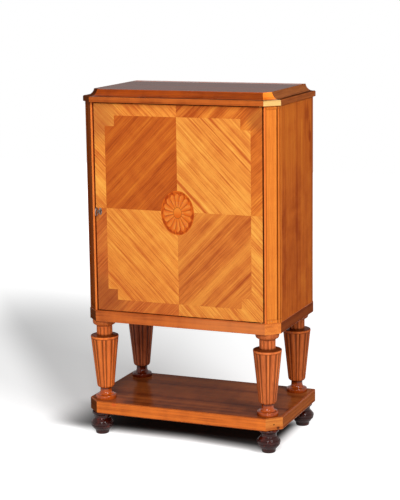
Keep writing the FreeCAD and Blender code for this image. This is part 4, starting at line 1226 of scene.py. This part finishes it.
class CABINET_OT_metalwork(Operator):
    """Finishes the hinges, the lock, its plates and the key"""

    bl_idname = "cabinet.metalwork"
    bl_label = "Finish the metalwork"

    SCREW_RADIUS = 2.2

    def execute(self, context):
        finish = context.scene.cabinet_finish
        brass = metal("aged_brass", finish.brass, 0.3, 0.7)
        steel = metal("lock_steel", finish.steel, 0.35, 0.5)
        bronze = metal("dark_bronze", finish.bronze, 0.35, 0.8)
        dress(["hinge_leaves_frame", "hinge_leaves_door", "strike_plate"], brass)
        dress(["lock_case", "lock_bolt"], steel)
        eased("escutcheon", 0.35, bronze, bronze, body="door")
        self.key(bronze)
        self.screws(brass, steel)
        return {"FINISHED"}

    def key(self, bronze):
        """A pipe key: pierced oval bow, turned collars, a hollow shank and its bit."""
        low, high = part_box("key")
        centre = (low + high) / 2
        half_width, half_height = 9.9 * MM, (high.z - low.z) / 2
        heart = Vector((centre.x, low.y + half_width, centre.z))
        bore, radius, wire, bow = 1.5, 2.3, 1.5, 13.5
        tip = -high.y / MM
        shape = [
            (tip + 9.0, bore), (tip, bore), (tip, radius - 0.3), (tip + 0.3, radius),
            *straight((tip + 0.3, radius), (27.8 + tip, radius), 3),
            *half_round((27.9 + tip, radius), (30.5 + tip, radius), 1.1, 8),
            *half_round((30.9 + tip, radius), (34.3 + tip, radius), 1.5, 8),
            (34.8 + tip, 2.0), (36.4 + tip, 1.7),
        ]
        shank = turned("key_shank", (0, 0), shape, 32)
        shank.rotation_euler = (math.radians(90), 0, 0)
        shank.location = (centre.x, 0, centre.z)
        made = [settle(shank, "key_shank")]
        for name, ring, tube, flat in (
            ("key_bow_rim", 1 - wire / bow, wire, 1.0), ("key_bow_web", 0.5, 5.3, 0.12)
        ):
            grab()
            bpy.ops.mesh.primitive_torus_add(
                major_radius=half_height * ring, minor_radius=tube * MM, major_segments=56,
                minor_segments=14, location=heart, rotation=(0, math.radians(90), 0),
            )
            piece = bpy.context.object
            edit_all()
            bpy.ops.transform.resize(
                value=(flat, half_width / half_height, 1), orient_type="GLOBAL",
                center_override=heart,
            )
            made.append(settle(piece, name))
        bit_size, drop = Vector((0.002, 0.0043, 0.0072)), 0.0054
        grab()
        bpy.ops.mesh.primitive_cube_add(
            size=1, location=(centre.x, high.y - bit_size.y / 2, centre.z - drop), scale=bit_size
        )
        bit = bpy.context.object
        bpy.ops.object.transform_apply(location=True, rotation=True, scale=True)
        edit_all()
        bpy.ops.mesh.bevel(offset=0.25 * MM, segments=2, affect="EDGES")
        made.append(settle(bit, "key_bit"))
        key = join(made, "pipe_key")
        dress(["pipe_key"], bronze)
        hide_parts("key")
        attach(key, "key")

    def screws(self, brass, steel):
        """Drives the screws of the hinges, the lock, the strike plate and the back."""
        head = screw(self.SCREW_RADIUS)
        up, down, behind, inside = (0, 0, 1), (0, 0, -1), (0, 1, 0), (1, 0, 0)
        door, fixed, case, strike, back = (
            [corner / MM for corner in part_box(node)]
            for node in ("hinge_leaves_door", "hinge_leaves_frame", "lock_case", "strike_plate",
                         "back_panel")
        )

        def row(box, level):
            return [(box[0].x + far, (box[0].y + box[1].y) / 2, level) for far in (7, 22, 37)]

        def grid(box, columns, levels):
            return [(x, box[1].y, z) for x in columns for z in levels]

        def inset(box, axis, edge):
            return box[0][axis] + edge, box[1][axis] - edge

        low, high = inset(door, 2, 0.0)
        rows = ((up, row(door, high)), (down, row(door, low)))
        drive(head, "hinge_screws_door", rows, "door", brass)
        low, high = inset(fixed, 2, 2.5)
        rows = ((up, row(fixed, low)), (down, row(fixed, high)))
        drive(head, "hinge_screws_frame", rows, "carcase", brass)
        rows = ((behind, grid(case, inset(case, 0, 5), inset(case, 2, 5))),)
        drive(head, "lock_screws", rows, "door", steel)
        middle = (strike[0].y + strike[1].y) / 2
        rows = ((inside, [(strike[1].x, middle, z) for z in inset(strike, 2, 4)]),)
        drive(head, "strike_screws", rows, "carcase", brass)
        sides = grid(back, inset(back, 0, 6), (430, 610, 790, 970))
        rails = grid(back, (-190, 0, 190), inset(back, 2, 8))
        drive(head, "back_screws", ((behind, sides + rails),), "carcase", brass)
        bpy.data.objects.remove(head)


class CABINET_PT_sidebar(Panel):
    """Lists the steps of the cabinet"""

    bl_idname = "CABINET_PT_sidebar"
    bl_label = "Drinks Cabinet"
    bl_space_type = "VIEW_3D"
    bl_region_type = "UI"
    bl_category = "Cabinet"

    def draw(self, context):
        for step in STEPS:
            self.layout.operator(step.bl_idname)
        for group in GROUPS:
            settings = getattr(context.scene, group)
            box = self.layout.box()
            for name in settings.__annotations__:
                box.prop(settings, name)


STEPS = (
    CABINET_OT_stage, CABINET_OT_feet, CABINET_OT_legs, CABINET_OT_stand, CABINET_OT_carcase,
    CABINET_OT_cornice, CABINET_OT_door, CABINET_OT_metalwork,
)
GROUPS = {
    "cabinet_turning": CABINET_PG_turning,
    "cabinet_finish": CABINET_PG_finish,
    "cabinet_stage": CABINET_PG_stage,
}


def register():
    for item in (*GROUPS.values(), *STEPS, CABINET_PT_sidebar):
        bpy.utils.register_class(item)
    for name, group in GROUPS.items():
        setattr(bpy.types.Scene, name, PointerProperty(type=group))


def unregister():
    for name in GROUPS:
        delattr(bpy.types.Scene, name)
    for item in reversed((*GROUPS.values(), *STEPS, CABINET_PT_sidebar)):
        bpy.utils.unregister_class(item)


def main():
    register()
    for step in STEPS:
        group, name = step.bl_idname.split(".")
        result = getattr(getattr(bpy.ops, group), name)()
        if result != {"FINISHED"}:
            raise RuntimeError(f"{step.bl_label}: {result}")
    grab()
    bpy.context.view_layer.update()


if __name__ == "__main__":
    main()
